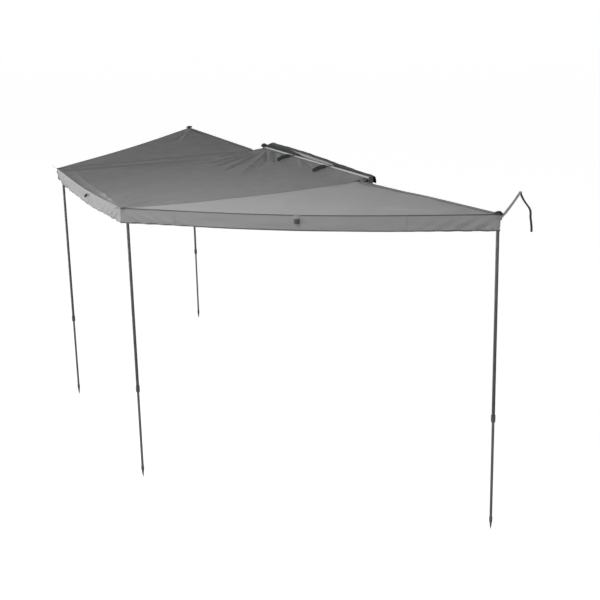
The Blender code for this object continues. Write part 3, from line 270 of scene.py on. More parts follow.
# Webbing folded over the arms' corners: the arm, the piece, its width, thickness and line from the corner
CORNER_FOLDS = (
    ("front_end", "fold", 0.030, WEBBING,
     (-0.024, -0.014, 0.001), (-0.016, -0.013, 0.014), (0.006, -0.012, 0.019), (0.030, -0.010, 0.016)),
    ("front_end", "folded_stack", 0.028, 0.0140,
     (-0.020, -0.013, 0.008), (-0.004, -0.012, 0.010), (0.014, -0.011, 0.010), (0.030, -0.010, 0.007)),
    ("rear_end", "fold", 0.030, WEBBING, (-0.062, 0.030, 0.003),
     (-0.046, 0.020, 0.012), (-0.024, 0.010, 0.021), (-0.004, 0.004, 0.019), (0.008, 0.002, 0.004)),
    ("rear_end", "second_fold", 0.024, WEBBING, (-0.050, 0.034, 0.004),
     (-0.034, 0.022, 0.008), (-0.016, 0.012, 0.013), (0.000, 0.006, 0.010), (0.008, 0.002, -0.004)),
    ("rear_end", "third_fold", 0.020, WEBBING, (-0.016, 0.060, 0.003),
     (-0.014, 0.045, 0.013), (-0.012, 0.026, 0.017), (-0.010, 0.008, 0.013), (-0.010, -0.006, 0.000)),
    ("rear_mid", "front_hem_web", 0.014, WEBBING,
     (-0.038, 0.004, 0.001), (-0.024, -0.001, 0.006), (-0.010, -0.006, 0.003)),
    ("rear_mid", "rear_hem_web", 0.014, WEBBING,
     (-0.006, -0.016, 0.002), (0.008, -0.024, 0.006), (0.022, -0.032, 0.003)),
)
CORNER_LOOP_WIDTH = 0.025
CORNER_LOOP_SPAN = (-0.050, 0.052)  # where it starts past the corner and its length
CORNER_LOOP_LIFT = 0.0016
FRONT_TAG_WIDTH = 0.012
FRONT_TAG = (
    (0.012, 0.000, 0.002),
    (-0.004, 0.000, 0.004),
    (-0.018, 0.004, 0.012),
    (-0.034, 0.008, 0.026),
    (-0.040, 0.010, 0.030),
)

# The storage straps' line from the board over the cloth: out, along and up. Their loose half starts at a
# step of it and lies beside it, narrower and lower; its dark webbing is partly the strap's doubled end and
# partly painted shadow under the strap.
STORAGE_STRAP_ROUTE = (
    (-0.097, 0.0, 0.1486),
    (-0.118, 0.0, 0.146),
    (-0.150, -0.012, 0.1490),
    (-0.190, -0.025, 0.1510),
    (-0.235, -0.038, 0.1430),
    (-0.270, -0.048, 0.1330),
    (-0.286, -0.052, 0.1300),
)
LOOSE_HALF_AND_SHADOW_STEP = 16
LOOSE_HALF_AND_SHADOW_START = 0.33  # share of the strap's turn at which the loose half begins
LOOSE_HALF_AND_SHADOW_SHARE = 0.6
LOOSE_HALF_AND_SHADOW_SHIFT = Vector((0, -0.004, -0.011))
LOOSE_HALF_AND_SHADOW_WIDTH = 0.85

# Creases in the roof: where each starts and ends in plan, its height and its half width
CREASES = (
    ((-2.00, 0.90), (-0.72, 0.79), -0.0180, 0.026),
    ((-1.60, 0.72), (-0.80, 0.70), -0.0068, 0.022),
    ((-1.45, 0.62), (-0.70, 0.58), -0.0054, 0.022),
    ((-0.76, 0.88), (-0.80, 0.60), -0.0108, 0.014),
    ((-0.66, 0.88), (-0.24, 1.00), -0.0108, 0.018),
    ((-0.84, 0.56), (-0.28, 0.93), -0.0121, 0.014),
    ((-0.87, 0.36), (-0.24, 0.90), -0.0135, 0.015),
    ((-0.88, 0.10), (-0.20, 0.88), -0.0149, 0.016),
    ((-0.74, -0.02), (-0.22, 0.78), 0.0108, 0.014),
    ((-0.62, 0.06), (-0.54, 0.22), -0.0108, 0.014),
    ((-0.50, 0.20), (-0.40, 0.42), 0.0081, 0.012),
    ((-0.38, 0.36), (-0.17, 0.86), -0.0162, 0.014),
    ((-0.33, 0.42), (-0.16, 0.80), 0.0121, 0.013),
    ((-0.33, 0.28), (-0.13, 0.76), -0.0135, 0.014),
    ((-0.26, 0.26), (-0.13, 0.66), 0.0081, 0.013),
    ((-0.15, 0.14), (-0.27, -0.16), 0.0081, 0.014),
    ((-0.15, 0.02), (-0.22, -0.24), -0.0068, 0.014),
    ((-0.14, -0.24), (-0.26, -0.44), 0.0054, 0.016),
    ((-1.96, 0.80), (-2.00, -0.40), 0.0108, 0.022),
    ((-1.99, -0.20), (-2.05, -0.96), 0.0150, 0.014),
    ((-2.06, -1.02), (-1.84, -0.62), 0.0135, 0.013),
    ((-2.05, -1.00), (-1.90, -0.66), -0.0108, 0.012),
    ((-2.06, -1.02), (-1.74, -0.84), 0.0108, 0.013),
    ((-2.05, -1.03), (-1.62, -0.93), -0.0095, 0.012),
    ((-0.24, 2.86), (-0.56, 2.10), 0.0162, 0.020),
    ((-0.28, 2.76), (-0.66, 2.10), -0.0108, 0.020),
    ((-0.22, 2.80), (-0.34, 2.00), -0.0081, 0.020),
    ((-0.50, -2.30), (-1.10, -1.50), 0.0054, 0.050),
    ((-1.20, -1.80), (-1.80, -1.20), 0.0068, 0.035),
    ((-0.45, -1.20), (-1.20, -1.60), 0.0041, 0.060),
    ((-0.30, -2.70), (-0.62, -2.10), 0.0068, 0.030),
)

# The camera: its place, its turns in degrees and its lens in millimetres
CAMERA_PLACE = (-4.079, -8.794, 1.526)
CAMERA_YAW = 23.568
CAMERA_PITCH = 15.116
CAMERA_ROLL = -1.277
CAMERA_LENS = 68.31

# Lamps: the name, its place, where it points, its width and height, and its watts
LAMPS = (
    ("side_wall", (-12.0, 5.0, -0.9), (-1.5, -0.2, 0.0), (9.0, 3.0), 2300),
    ("end_wall", (-3.0, -14.0, -0.9), (-1.0, -2.0, 0.0), (9.0, 3.0), 700),
    ("rear_softbox", (-2.9, -2.3, 2.7), (-1.2, -0.6, 0.1), (1.2, 1.2), 80),
)

# The studio: the height and brightness of its walls and ceiling, and its floor. The floor has one paint for
# the light that it throws back, and another, which glows, for the camera.
WORLD_LEVELS = ((0.0, 0.32), (0.9, 0.04))
FLOOR_RADIUS = 60
FLOOR_LIT = "#f4f4f4"
FLOOR_SEEN = "#b0b0b0"
FLOOR_GLOW = 0.91

WAVE_SCALE = 314  # a wave texture's scale for bands 1 mm apart


# Sizes and colours that a user would change


def linear(code):
    """A colour written as sRGB hex, in the linear values that Blender's sockets take."""
    values = [int(code[i : i + 2], 16) / 255 for i in (1, 3, 5)]
    return (*(v / 12.92 if v <= 0.04045 else ((v + 0.055) / 1.055) ** 2.4 for v in values), 1.0)


def colour_property(name, description, code):
    return bpy.props.FloatVectorProperty(
        name=name, description=description, subtype="COLOR", size=4, min=0.0, max=1.0, default=linear(code)
    )


def length_property(name, description, default, low, high):
    limits = {"min": low, "max": high, "unit": "LENGTH", "subtype": "DISTANCE"}
    return bpy.props.FloatProperty(name=name, description=description, default=default, **limits)


def count_property(name, description, default, low, high):
    return bpy.props.IntProperty(name=name, description=description, default=default, min=low, max=high)


class AwningSizes(bpy.types.PropertyGroup):
    hem_width: length_property("Hem width", "Binding tape on each side of a hem", 0.009, 0.004, 0.03)
    seam_width: length_property("Seam width", "Felled seam over each mid arm", 0.020, 0.008, 0.05)
    stitch_spacing: length_property("Stitch spacing", "Drawn coarser than life", 0.009, 0.003, 0.03)
    stitch_length: length_property("Stitch length", "Visible thread of one stitch", 0.0055, 0.002, 0.02)
    tooth_pitch: length_property("Zip pitch", "Middle to middle of the cover's teeth", 0.006, 0.003, 0.012)
    crease_height: bpy.props.FloatProperty(
        name="Crease height", description="Share of the creases' measured height", default=1, min=0, max=2
    )
    cloth_columns: count_property("Cloth columns", "Grid lines across each roof panel", 140, 20, 200)
    tube_sides: count_property("Tube sides", "Facets round a leg", 32, 12, 64)


class AwningColours(bpy.types.PropertyGroup):
    # One cloth throughout: the front wing's colour is darker than the centre's as painted shade, and the rear
    # wing's is lighter as painted sheen.
    centre: colour_property("Centre cloth", "Coated polyester of the centre panel", "#858585")
    front_wing: colour_property("Front wing cloth", "Coated polyester of the front wing", "#7e7e7e")
    rear_wing: colour_property("Rear wing cloth", "Coated polyester, cut across the weave", "#a9a9a9")
    valance: colour_property("Valance", "Coated polyester of the valances", "#7d7d7e")
    hem: colour_property("Hem", "Polyester binding tape", "#3d3d3e")
    thread: colour_property("Thread", "Bonded nylon sewing thread", "#5d5d5f")
    # The tie's loose tail takes this colour too, as painted shade.
    strap: colour_property("Strap", "Dark polypropylene webbing", "#2f3031")
    tie: colour_property("Tie", "Pale polyester webbing", "#c4c4c1")
    cover: colour_property("Cover", "PVC-coated fabric outside", "#2c2d2f")
    lining: colour_property("Lining", "Cover's inner side", "#a0a0a0")
    alloy: colour_property("Anodised alloy", "Black anodised aluminium tube", "#48494b")
    inner_alloy: colour_property("Inner tube", "Grey anodised aluminium tube", "#5e5f61")
    casting: colour_property("Casting", "Powder-coated aluminium casting", "#252628")
    steel: colour_property("Bracket", "Powder-coated steel plate", "#2a2b2d")
    rail: colour_property("Rail", "Clear anodised aluminium", "#b5b6b8")
    zinc: colour_property("Fastener", "Zinc-plated steel", "#b9b9b4")
    plastic: colour_property("Plastic", "Moulded glass-filled nylon", "#47484b")


# Shapes shared by the pieces


def up(height):
    return Vector((0, 0, height))


def hem_direction(outward):
    """The level direction along a hem that faces outward."""
    return Vector((-outward.y, outward.x, 0))


def shares(steps):
    """Even steps from 0 to 1."""
    return [k / steps for k in range(steps + 1)]


def smooth_step(value):
    value = min(max(value, 0.0), 1.0)
    return value * value * (3 - 2 * value)


def smooth_path(points, steps):
    """Points on a smooth curve through the given ones (Catmull-Rom)."""
    points = [Vector(p) for p in points]
    points = [2 * points[0] - points[1], *points, 2 * points[-1] - points[-2]]
    path = []
    for a, b, c, d in zip(points, points[1:], points[2:], points[3:]):
        square, cube = 2 * a - 5 * b + 4 * c - d, 3 * b - a - 3 * c + d
        for i in range(steps):
            t = i / steps
            path.append(0.5 * (2 * b + (c - a) * t + square * t**2 + cube * t**3))
    path.append(points[-2])
    return path


def path_length(points):
    return sum((b - a).length for a, b in zip(points, points[1:]))


class Arm:
    """One arm: its level frame at the pin, and the sloped frame that its tube lies in."""

    def __init__(self, name, pin, heading, reach):
        self.name = name
        self.reach = reach
        turn = Matrix.Rotation(math.radians(heading), 4, "Z")
        self.level = Matrix.Translation((*pin, ARM_AXIS)) @ turn
        self.sloped = self.level @ Matrix.Rotation(-math.asin(TIP_RISE[name] / reach), 4, "Y")
        leg_pin = Vector((reach - LEG_INSET, 0, -TUBE_HEIGHT / 2 - LEG_DROP))
        self.leg = Matrix.Translation(self.sloped @ leg_pin) @ turn
        self.tip = self.sloped @ Matrix.Translation((reach - LEG_INSET, 0, 0))

    def top_at(self, distance):
        return ARM_AXIS + CLOTH_TOP + TIP_RISE[self.name] * distance / self.reach


ARMS = {
    "rear_mid": Arm("rear_mid", (REAR_HINGE_X, -HINGE_Y), 180, ARM_REACH),
    "rear_end": Arm("rear_end", (REAR_HINGE_X, -HINGE_Y - NEST_PITCH), -90, ARM_REACH),
    "front_mid": Arm("front_mid", (FRONT_HINGE_X, HINGE_Y), 180, ARM_REACH - 2 * NEST_PITCH),
    "front_end": Arm("front_end", (FRONT_HINGE_X, HINGE_Y + NEST_PITCH), 90, ARM_REACH),
}


def new_piece(name, mesh, material):
    """A named object at the origin with its place in its mesh."""
    piece = bpy.data.objects.new(name, mesh)
    bpy.context.scene.collection.objects.link(piece)
    mesh.materials.clear()
    mesh.materials.append(material)
    return piece


def piece_from(bm, name, material, smooth_angle=35, turn_outwards=True):
    """A closed bmesh as a piece, smooth except at its sharp edges.

    A copy of a CAD node isn't turned, because its faces already point outwards.
    """
    if turn_outwards:
        bmesh.ops.recalc_face_normals(bm, faces=bm.faces)
        if bm.calc_volume(signed=True) < 0:
            bmesh.ops.reverse_faces(bm, faces=bm.faces)
    mesh = bpy.data.meshes.new(name)
    bm.to_mesh(mesh)
    bm.free()
    mesh.shade_smooth()
    mesh.set_sharp_from_angle(angle=math.radians(smooth_angle))
    return new_piece(name, mesh, finish(material))


def turned(profile, sides, matrix, closed=False):
    """A profile of (radius, height) points, turned about Z and put in its place.

    The spin operator isn't used, because the order of its faces changes from run to run.
    """
    bm = bmesh.new()
    columns = []
    for k in range(sides):
        turn = matrix @ Matrix.Rotation(math.tau * k / sides, 4, "Z")
        columns.append([bm.verts.new(turn @ Vector((r, 0, z))) for r, z in profile])
    steps = range(len(profile) if closed else len(profile) - 1)
    for a, b in zip(columns, columns[1:] + columns[:1]):
        for k in steps:
            after = (k + 1) % len(profile)
            bm.faces.new((a[k], a[after], b[after], b[k]))
    bmesh.ops.remove_doubles(bm, verts=bm.verts, dist=1e-6)
    return bm


def lofted(name, path, rings, width, material, smooth_angle):
    """A strip through rings of points, one at each point of its path, closed at both ends.

    Its UV map runs along the path and round the ring, in metres. Width is the ring's length round.
    """
    bm = bmesh.new()
    uv = bm.loops.layers.uv.new("cloth")
    rings = [[bm.verts.new(point) for point in ring] for ring in rings]
    count = len(rings[0])
    start = 0.0
    for i, (a, b) in enumerate(zip(rings, rings[1:])):
        end = start + (path[i + 1] - path[i]).length
        for k in range(count):
            face = bm.faces.new((a[k], a[(k + 1) % count], b[(k + 1) % count], b[k]))
            places = ((start, k), (start, k + 1), (end, k + 1), (end, k))
            for loop, (u, v) in zip(face.loops, places):
                loop[uv].uv = (u, width * v / count)
        start = end
    bm.faces.new(rings[0][::-1])
    bm.faces.new(rings[-1])
    return piece_from(bm, name, material, smooth_angle)


def ribbon(name, path, across, thickness, material):
    """A flat strap along a path, with softened edges.

    Across is half its width as a vector, or a function that gives that at each share of the path.
    """
    lower = ((-1, -0.35), (-0.97, -1), (0, -1), (0.97, -1), (1, -0.35))
    outline = lower + tuple((-a, -b) for a, b in lower)
    last = len(path) - 1
    rings = []
    for i, point in enumerate(path):
        along = (path[min(i + 1, last)] - path[max(i - 1, 0)]).normalized()
        side = across(i / last) if callable(across) else across
        rise = side.cross(along).normalized() * thickness / 2
        rings.append([point + side * a + rise * b for a, b in outline])
    width = (across(0.5) if callable(across) else across).length * 2
    return lofted(name, path, rings, width, material, 50)


def sheet_piece(name, columns, rows, surface, material):
    """A cloth panel: surface(i, j) gives each grid point, its back's point and its UV, in metres."""
    places = [surface(i, j) for i in range(columns + 1) for j in range(rows + 1)]
    front, back, uvs = zip(*places)
    total = len(places)
    grid = [list(range(i * (rows + 1), (i + 1) * (rows + 1))) for i in range(columns + 1)]
    faces = []
    for left, right in zip(grid, grid[1:]):
        for j in range(rows):
            quad = (left[j], right[j], right[j + 1], left[j + 1])
            faces += [quad, tuple(total + k for k in quad[::-1])]
    rim = [line[0] for line in grid[:-1]] + grid[-1][:-1]
    rim += [line[-1] for line in grid[:0:-1]] + grid[0][:0:-1]
    faces += [(b, a, total + a, total + b) for a, b in zip(rim, rim[1:] + rim[:1])]
    mesh = bpy.data.meshes.new(name)
    mesh.from_pydata(front + back, [], faces)
    layer = mesh.uv_layers.new(name="cloth")
    loop_uvs = np.array([uvs[loop.vertex_index % total] for loop in mesh.loops], np.float32)
    layer.data.foreach_set("uv", loop_uvs.ravel())
    bm = bmesh.new()
    bm.from_mesh(mesh)
    bpy.data.meshes.remove(mesh)
    return piece_from(bm, name, material, 50)


def attach(piece, body):
    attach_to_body(piece, body)


def stand_for(piece, node):
    """Puts a piece in a CAD node's place and on its body, and hides the node."""
    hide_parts(node)
    attach(piece, BODY_OF[node])
    return piece


# The roof's shape


def arm_line(name, distance, aside=0.0):
    """A point of the cloth over an arm, at a distance from its pin."""
    point = ARMS[name].level @ Vector((distance, aside, 0))
    return Vector((point.x, point.y, ARMS[name].top_at(distance)))


@functools.cache
def corner(name):
    """The cloth's corner at an arm's end."""
    return arm_line(name, ARMS[name].reach)


def centre_edge(name, share):
    """The centre panel's side edge, from the rail (0) to the mid arm's corner (1)."""
    arm = ARMS[name]
    pin = arm.level.translation
    start = RAIL_X - RAIL_RADIUS
    x = start + (corner(name).x - start) * share
    fall = smooth_step((x - (pin.x - 0.10)) / (start - 0.004 - (pin.x - 0.10)))
    height = arm.top_at(max(pin.x - x, 0.0))
    return Vector((x, pin.y, height + (RAIL_Z + CLOTH / 2 - arm.top_at(0)) * fall))


def crease(point):
    """How far the creases lift the cloth here."""
    lift = 0.0
    for start, end, height, width in CREASES:
        dx, dy = end[0] - start[0], end[1] - start[1]
        length = math.hypot(dx, dy)
        along = ((point.x - start[0]) * dx + (point.y - start[1]) * dy) / length**2
        aside = ((point.x - start[0]) * dy - (point.y - start[1]) * dx) / length
        if -0.2 < along < 1.2 and abs(aside) <= 4 * width:
            fade = smooth_step((along + 0.15) / 0.4) * smooth_step((1.15 - along) / 0.5)
            lift += height * fade * math.exp(-abs(aside / width) ** 1.4)
    return lift * bpy.context.scene.awning_sizes.crease_height


def unevenness(point):
    """The shallow unevenness that packing leaves all over the cloth."""
    a, b = point.x * 9, point.y * 9
    return 0.0011 * (math.sin(a + 1.7 * math.sin(b * 0.6)) + math.sin(b * 1.3 + 1.4 * math.sin(a * 0.8 + 2)))


def centre_surface(u, v):
    """The whole centre panel: u from the rail to the outer edge, v from the rear arm to the front arm."""
    share = u**1.25
    point = centre_edge("rear_mid", share).lerp(centre_edge("front_mid", share), v)
    across = 4 * v * (1 - v)
    point.z -= CENTRE_SAG * across**1.5 * (0.3 + 0.7 * share) * smooth_step(u * 5)
    calm = smooth_step(across * 6) * smooth_step(u * 20) * smooth_step((1 - u) * 60)
    point.z += (crease(point) + unevenness(point)) * calm
    return point


def wing_surface(end, s, t):
    """A wing: s from its mid arm to its end arm, t from its cut-off corner to its outer edge."""
    mid, tail = f"{end}_mid", f"{end}_end"
    along = t**1.15
    outside = SIDES[end] * (TUBE_WIDTH / 2 + HEM_OVERHANG)
    a = arm_line(mid, WING_MID_START + (ARMS[mid].reach - WING_MID_START) * along, SIDES[end] * 0.0002)
    run = WING_END_START + (ARMS[tail].reach - WING_END_START) * along
    inboard = HEM_INBOARD * (1 - smooth_step((run - 0.25) / 0.80)) if end == "rear" else 0.0
    point = a.lerp(arm_line(tail, run, outside) - Vector((inboard, 0, 0)), s)
    across = 4 * s * (1 - s)
    point.z -= WING_SAG[end] * across**1.5 * along * along
    ripple = math.exp(-(((ARMS[mid].reach * along - 0.30) / 0.30) ** 2)) * math.sin(4 * s * math.pi)
    point.z += 0.004 * ripple * across * smooth_step((1 - t) * 4) * smooth_step(t * 4)
    calm = smooth_step(across * 6) * smooth_step(t * 12) * smooth_step((1 - t) * 60)
    point.z += (crease(point) + unevenness(point)) * calm
    return point


def seam_share(end, t):
    """How far across a wing its seam with the centre's cloth lies. The rear one bows past the arm."""
    return SEAM_END + SEAM_BOW * (1 - t**1.15) if end == "rear" else 0.0


def half_centre(end):
    """The part of the centre panel, as a share of its width, on this end's side."""
    return (0.0001, 0.5) if end == "rear" else (0.5, 0.9999)


def valance_drop(hem):
    """How deep the valance hangs from this point of its hem: it is cut back round the front corner."""
    away = (hem - corner("front_mid")).length
    return VALANCE_HEIGHT * (1 - VALANCE_CUT * math.exp(-away / VALANCE_CUT_REACH))


CENTRE_OUTWARD = Vector((-1, 0, 0))


@functools.cache
def wing_outward(end):
    """The level direction that a wing's valance faces."""
    hem = wing_surface(end, 1, 1) - wing_surface(end, 0, 1)
    outward = hem.cross(up(SIDES[end]))
    return Vector((outward.x, outward.y, 0)).normalized()


def drag_folds(end, hem, down):
    """Shallow folds that fan down from a valance's ends, where its hem is pulled tight."""
    away = min((hem - corner(f"{end}_{arm}")).length for arm in ("mid", "end"))
    fade = math.exp(-((away / DRAG_REACH) ** 2)) * smooth_step(away / DRAG_CLEAR)
    return DRAG_DEPTH * fade * math.sin(math.tau * (away / DRAG_SPACING - DRAG_SLANT * down))


def hanging(hem, outward, down):
    """A valance's point below its hem, and the direction that it faces. At a corner, both panels agree."""
    end = "rear" if hem.y < 0 else "front"
    shared = (CENTRE_OUTWARD + wing_outward(end)).normalized()
    free = smooth_step((hem - corner(f"{end}_mid")).length / CORNER_BLEND)
    facing = (outward * free + shared * (1 - free)).normalized()
    place = hem.x * 2.1 + hem.y * 2.6
    wave = 0.9 * math.sin(place * 2.3) + 0.35 * math.sin(place * 5.9 + 1.0)
    crumple = 0.0028 * math.sin(place * 13 + 9 * down) + 0.0016 * math.sin(place * 29 - 7 * down)
    out = VALANCE_WAVE * (1 + free * wave) + free * (crumple + drag_folds(end, hem, down))
    return hem + facing * out * down - up(valance_drop(hem) * down), facing


def with_valance(canopy, columns, rows, outward, last):
    """A panel that carries on down its valance. It gives front, back and UV for each grid point."""
    along = hem_direction(outward)

    def surface(i, j):
        v = j / rows
        if i <= columns:
            point = canopy(i / columns, v)
            inner = -outward * CLOTH if i == columns else Vector()
            return point, point - up(CLOTH) + inner, (point.x, point.y)
        down = (i - columns) / VALANCE_ROWS
        hem = canopy(1.0, v * last)
        point, facing = hanging(hem, outward, down)
        return point, point - facing * CLOTH, (hem.dot(along) + 4.0, VALANCE_HEIGHT * down + 4.0)

    return surface


def settle(piece, end, centre):
    """Makes a piece of the roof ride and fold as its panel does."""
    if centre:
        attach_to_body(piece, "board")
        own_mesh(piece)
    else:
        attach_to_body(piece, f"{end}_mid_arm_body")
        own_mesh(piece)


# Materials


def connect(tree, node, links):
    for key, socket in links.items():
        tree.links.new(socket, node.inputs[key])


def add_node(tree, kind, links=None, values=None, **settings):
    """Adds a node, sets its properties and its unlinked inputs, and links sockets to the others."""
    node = tree.nodes.new(kind)
    for key, value in settings.items():
        setattr(node, key, value)
    for key, value in (values or {}).items():
        node.inputs[key].default_value = value
    connect(tree, node, links or {})
    return node


def start_material(name, roughness, metallic=0.0, **sockets):
    """A Principled material, its tree and its shader, with the values that are the same all over it."""
    material = bpy.data.materials.new(name)
    material.use_nodes = True
    shader = material.node_tree.nodes["Principled BSDF"]
    shader.inputs["Roughness"].default_value = roughness
    shader.inputs["Metallic"].default_value = metallic
    for key, value in sockets.items():
        shader.inputs[key.replace("_", " ")].default_value = value
    return material, material.node_tree, shader


def shade(colour, factor):
    """A colour made lighter or darker."""
    return (*(min(c * factor, 1.0) for c in colour[:3]), 1.0)


def varied(tree, colour, vector, size_mm, amount):
    """A colour that drifts lighter and darker in patches of a real size."""
    values = {"Scale": 1000 / size_mm, "Detail": 4.0, "Roughness": 0.6}
    noise = add_node(tree, "ShaderNodeTexNoise", {"Vector": vector}, values)
    tones = {6: shade(colour, 1 - amount), 7: shade(colour, 1 + amount)}
    return add_node(tree, "ShaderNodeMix", {0: noise.outputs["Fac"]}, tones, data_type="RGBA").outputs[2]


def gloss_patches(tree, vector, size_mm, detail, low, high):
    """A roughness that drifts between two values in patches of a real size."""
    values = {"Scale": 1000 / size_mm, "Detail": detail}
    noise = add_node(tree, "ShaderNodeTexNoise", {"Vector": vector}, values)
    limits = {"From Min": 0.3, "From Max": 0.7, "To Min": low, "To Max": high}
    return add_node(tree, "ShaderNodeMapRange", {"Value": noise.outputs["Fac"]}, limits).outputs[0]


def woven(tree, cloth, colour, tone, warp_mm, weft_mm, depth, slack=0.0):
    """Two crossing sets of threads: their height, and the tone made darker between them by a factor.

    Slack is how far the weft wanders.
    """
    threads = []
    for axis, spacing, wander in (("X", warp_mm, 0.0), ("Y", weft_mm, slack)):
        values = {"Scale": WAVE_SCALE / spacing, "Distortion": wander}
        wave = add_node(tree, "ShaderNodeTexWave", {"Vector": cloth}, values, bands_direction=axis)
        threads.append(wave.outputs["Fac"])
    height = add_node(tree, "ShaderNodeMath", dict(enumerate(threads)), operation="MULTIPLY").outputs[0]
    mixed = add_node(tree, "ShaderNodeMix", {0: height, 6: tone}, {7: shade(colour, depth)}, data_type="RGBA")
    return height, mixed.outputs[2]


def canopy_cloth(name, colour):
    """Coated 300D polyester: a matt plain weave under a thin film that gives a faint, broad sheen."""
    sheen = {"Specular_IOR_Level": 0.12, "Sheen_Weight": 0.02, "Sheen_Roughness": 0.5}
    material, tree, shader = start_material(name, 0.62, **sheen)
    cloth = add_node(tree, "ShaderNodeUVMap", uv_map="cloth").outputs[0]
    place = add_node(tree, "ShaderNodeTexCoord").outputs["Object"]
    # Threads are 0.5 mm apart in life; drawn 3 mm apart, the finest that shows close up
    tone = varied(tree, colour, place, 420, 0.045)
    weave, threads = woven(tree, cloth, colour, tone, 3.0, 3.0, 0.93)
    # Hand-size crumples, left from being packed
    values = {"Scale": 1000 / 160, "Detail": 3.0, "Distortion": 0.8}
    crumple = add_node(tree, "ShaderNodeTexNoise", {"Vector": place}, values).outputs["Fac"]
    broad = add_node(tree, "ShaderNodeBump", {"Height": crumple}, {"Strength": 0.35, "Distance": 0.006})
    links = {"Height": weave, "Normal": broad.outputs[0]}
    fine = add_node(tree, "ShaderNodeBump", links, {"Strength": 0.30, "Distance": 0.0006}).outputs[0]
    gloss = gloss_patches(tree, place, 90, 5.0, 0.56, 0.70)
    connect(tree, shader, {"Base Color": threads, "Roughness": gloss, "Normal": fine})
    return material


def webbing(name, colour, rib_mm):
    """Woven webbing: dull, with ribs across the strap and a faint chevron along it."""
    material, tree, shader = start_material(name, 0.80, Sheen_Weight=0.15, Sheen_Roughness=0.5)
    cloth = add_node(tree, "ShaderNodeUVMap", uv_map="cloth").outputs[0]
    tone = varied(tree, colour, cloth, 30, 0.08)
    height, threads = woven(tree, cloth, colour, tone, rib_mm, 4.0, 0.75, 0.6)
    bump = add_node(tree, "ShaderNodeBump", {"Height": height}, {"Strength": 0.5, "Distance": 0.0006})
    connect(tree, shader, {"Base Color": threads, "Normal": bump.outputs[0]})
    return material


def grained(name, colour, roughness, metallic, grain_mm, depth_mm, wear=0.06, specular=0.5, stretch=None):
    """A surface with a fine grain of a real size, and patches where handling has changed its gloss."""
    material, tree, shader = start_material(name, roughness, metallic, Specular_IOR_Level=specular)
    place = add_node(tree, "ShaderNodeTexCoord").outputs["Object"]
    if stretch is not None:
        place = add_node(tree, "ShaderNodeMapping", {"Vector": place}, {"Scale": stretch}).outputs[0]
    grain = add_node(tree, "ShaderNodeTexNoise", {"Vector": place}, {"Scale": 1000 / grain_mm, "Detail": 3.0})
    values = {"Strength": 0.4, "Distance": depth_mm / 1000}
    bump = add_node(tree, "ShaderNodeBump", {"Height": grain.outputs["Fac"]}, values).outputs[0]
    gloss = gloss_patches(tree, place, 45, 6.0, roughness - wear, roughness + wear)
    tone = varied(tree, colour, place, 60, 0.07)
    connect(tree, shader, {"Base Color": tone, "Roughness": gloss, "Normal": bump})
    return material


# What makes each finish, its material's name and its colour. For webbing, the ribs' spacing in mm follows.
# For a grained one, its roughness, metallic value, grain and depth in mm, and where they differ from the
# usual, its wear, its specular level and the grain's stretch.
FINISHES = {
    # Coated polyester: matt. One cloth on every panel: the front wing's is drawn darker as painted shade, the
    # rear wing's lighter as painted sheen
    "centre_cloth": (canopy_cloth, "centre_coated_polyester", "centre"),
    "front_wing_cloth": (canopy_cloth, "front_wing_coated_polyester", "front_wing"),
    "rear_wing_cloth": (canopy_cloth, "rear_wing_coated_polyester", "rear_wing"),
    "valance_cloth": (canopy_cloth, "valance_coated_polyester", "valance"),
    # Polyester binding tape: dark, with coarse ribs
    "hem_tape": (webbing, "polyester_binding_tape", "hem", 2.0),
    # Polypropylene webbing: nearly black and dull. The tie's loose tail is drawn in it too, as painted shade
    # on the pale tie's webbing
    "strap": (webbing, "dark_polypropylene_webbing", "strap", 1.6),
    # Undyed polyester webbing: pale and dull
    "tie": (webbing, "pale_polyester_webbing", "tie", 1.6),
    # Bonded nylon thread: slightly glossy, twisted
    "thread": (grained, "bonded_nylon_thread", "thread", 0.5, 0.0, 1.0, 0.1),
    # PVC-coated polyester: a leathery grain with a dull shine
    "cover": (grained, "pvc_coated_polyester", "cover", 0.55, 0.0, 1.5, 0.25, 0.10, 0.2),
    # The same fabric's bare back: a fine weave with no shine
    "lining": (grained, "uncoated_polyester_lining", "lining", 0.85, 0.0, 1.2, 0.15),
    # Anodised tube and extrusion: satin, with a very fine grain
    "alloy": (grained, "black_anodised_aluminium", "alloy", 0.42, 0.6, 1.0, 0.03),
    "inner_alloy": (grained, "grey_anodised_aluminium", "inner_alloy", 0.40, 0.6, 1.0, 0.03),
    # Clear anodised extrusion: a bright satin with draw lines along it
    "rail": (grained, "clear_anodised_aluminium", "rail", 0.34, 0.9, 0.8, 0.03, 0.06, 0.5, (1, 0.05, 1)),
    # Powder coat on a sand casting: orange-peel texture
    "casting": (grained, "powder_coated_casting", "casting", 0.55, 0.0, 1.6, 0.12, 0.10),
    # Powder coat on plate: smoother and a little glossier
    "steel": (grained, "powder_coated_steel", "steel", 0.48, 0.0, 1.8, 0.06),
    # Zinc plating: bright metal with dull patches
    "zinc": (grained, "zinc_plated_steel", "zinc", 0.34, 1.0, 0.6, 0.03, 0.12),
    # Glass-filled nylon straight from a spark-eroded mould: an even, matt grain
    "plastic": (grained, "moulded_nylon", "plastic", 0.58, 0.0, 0.7, 0.05),
}


@functools.cache
def finish(name):
    """The named finish, made the first time that a piece asks for it."""
    maker, label, colour, *values = FINISHES[name]
    return maker(label, getattr(bpy.context.scene.awning_colours, colour), *values)


# Geometry Nodes: rows of small pieces along a path


def stitch_shape(tree):
    """One thread's visible length: a small rod that lies along X, one unit each way."""
    rod = add_node(tree, "GeometryNodeMeshCylinder", values={"Vertices": 6, "Radius": 0.5, "Depth": 1.0})
    links, values = {"Geometry": rod.outputs["Mesh"]}, {"Rotation": (0, math.pi / 2, 0)}
    return add_node(tree, "GeometryNodeTransform", links, values).outputs[0]


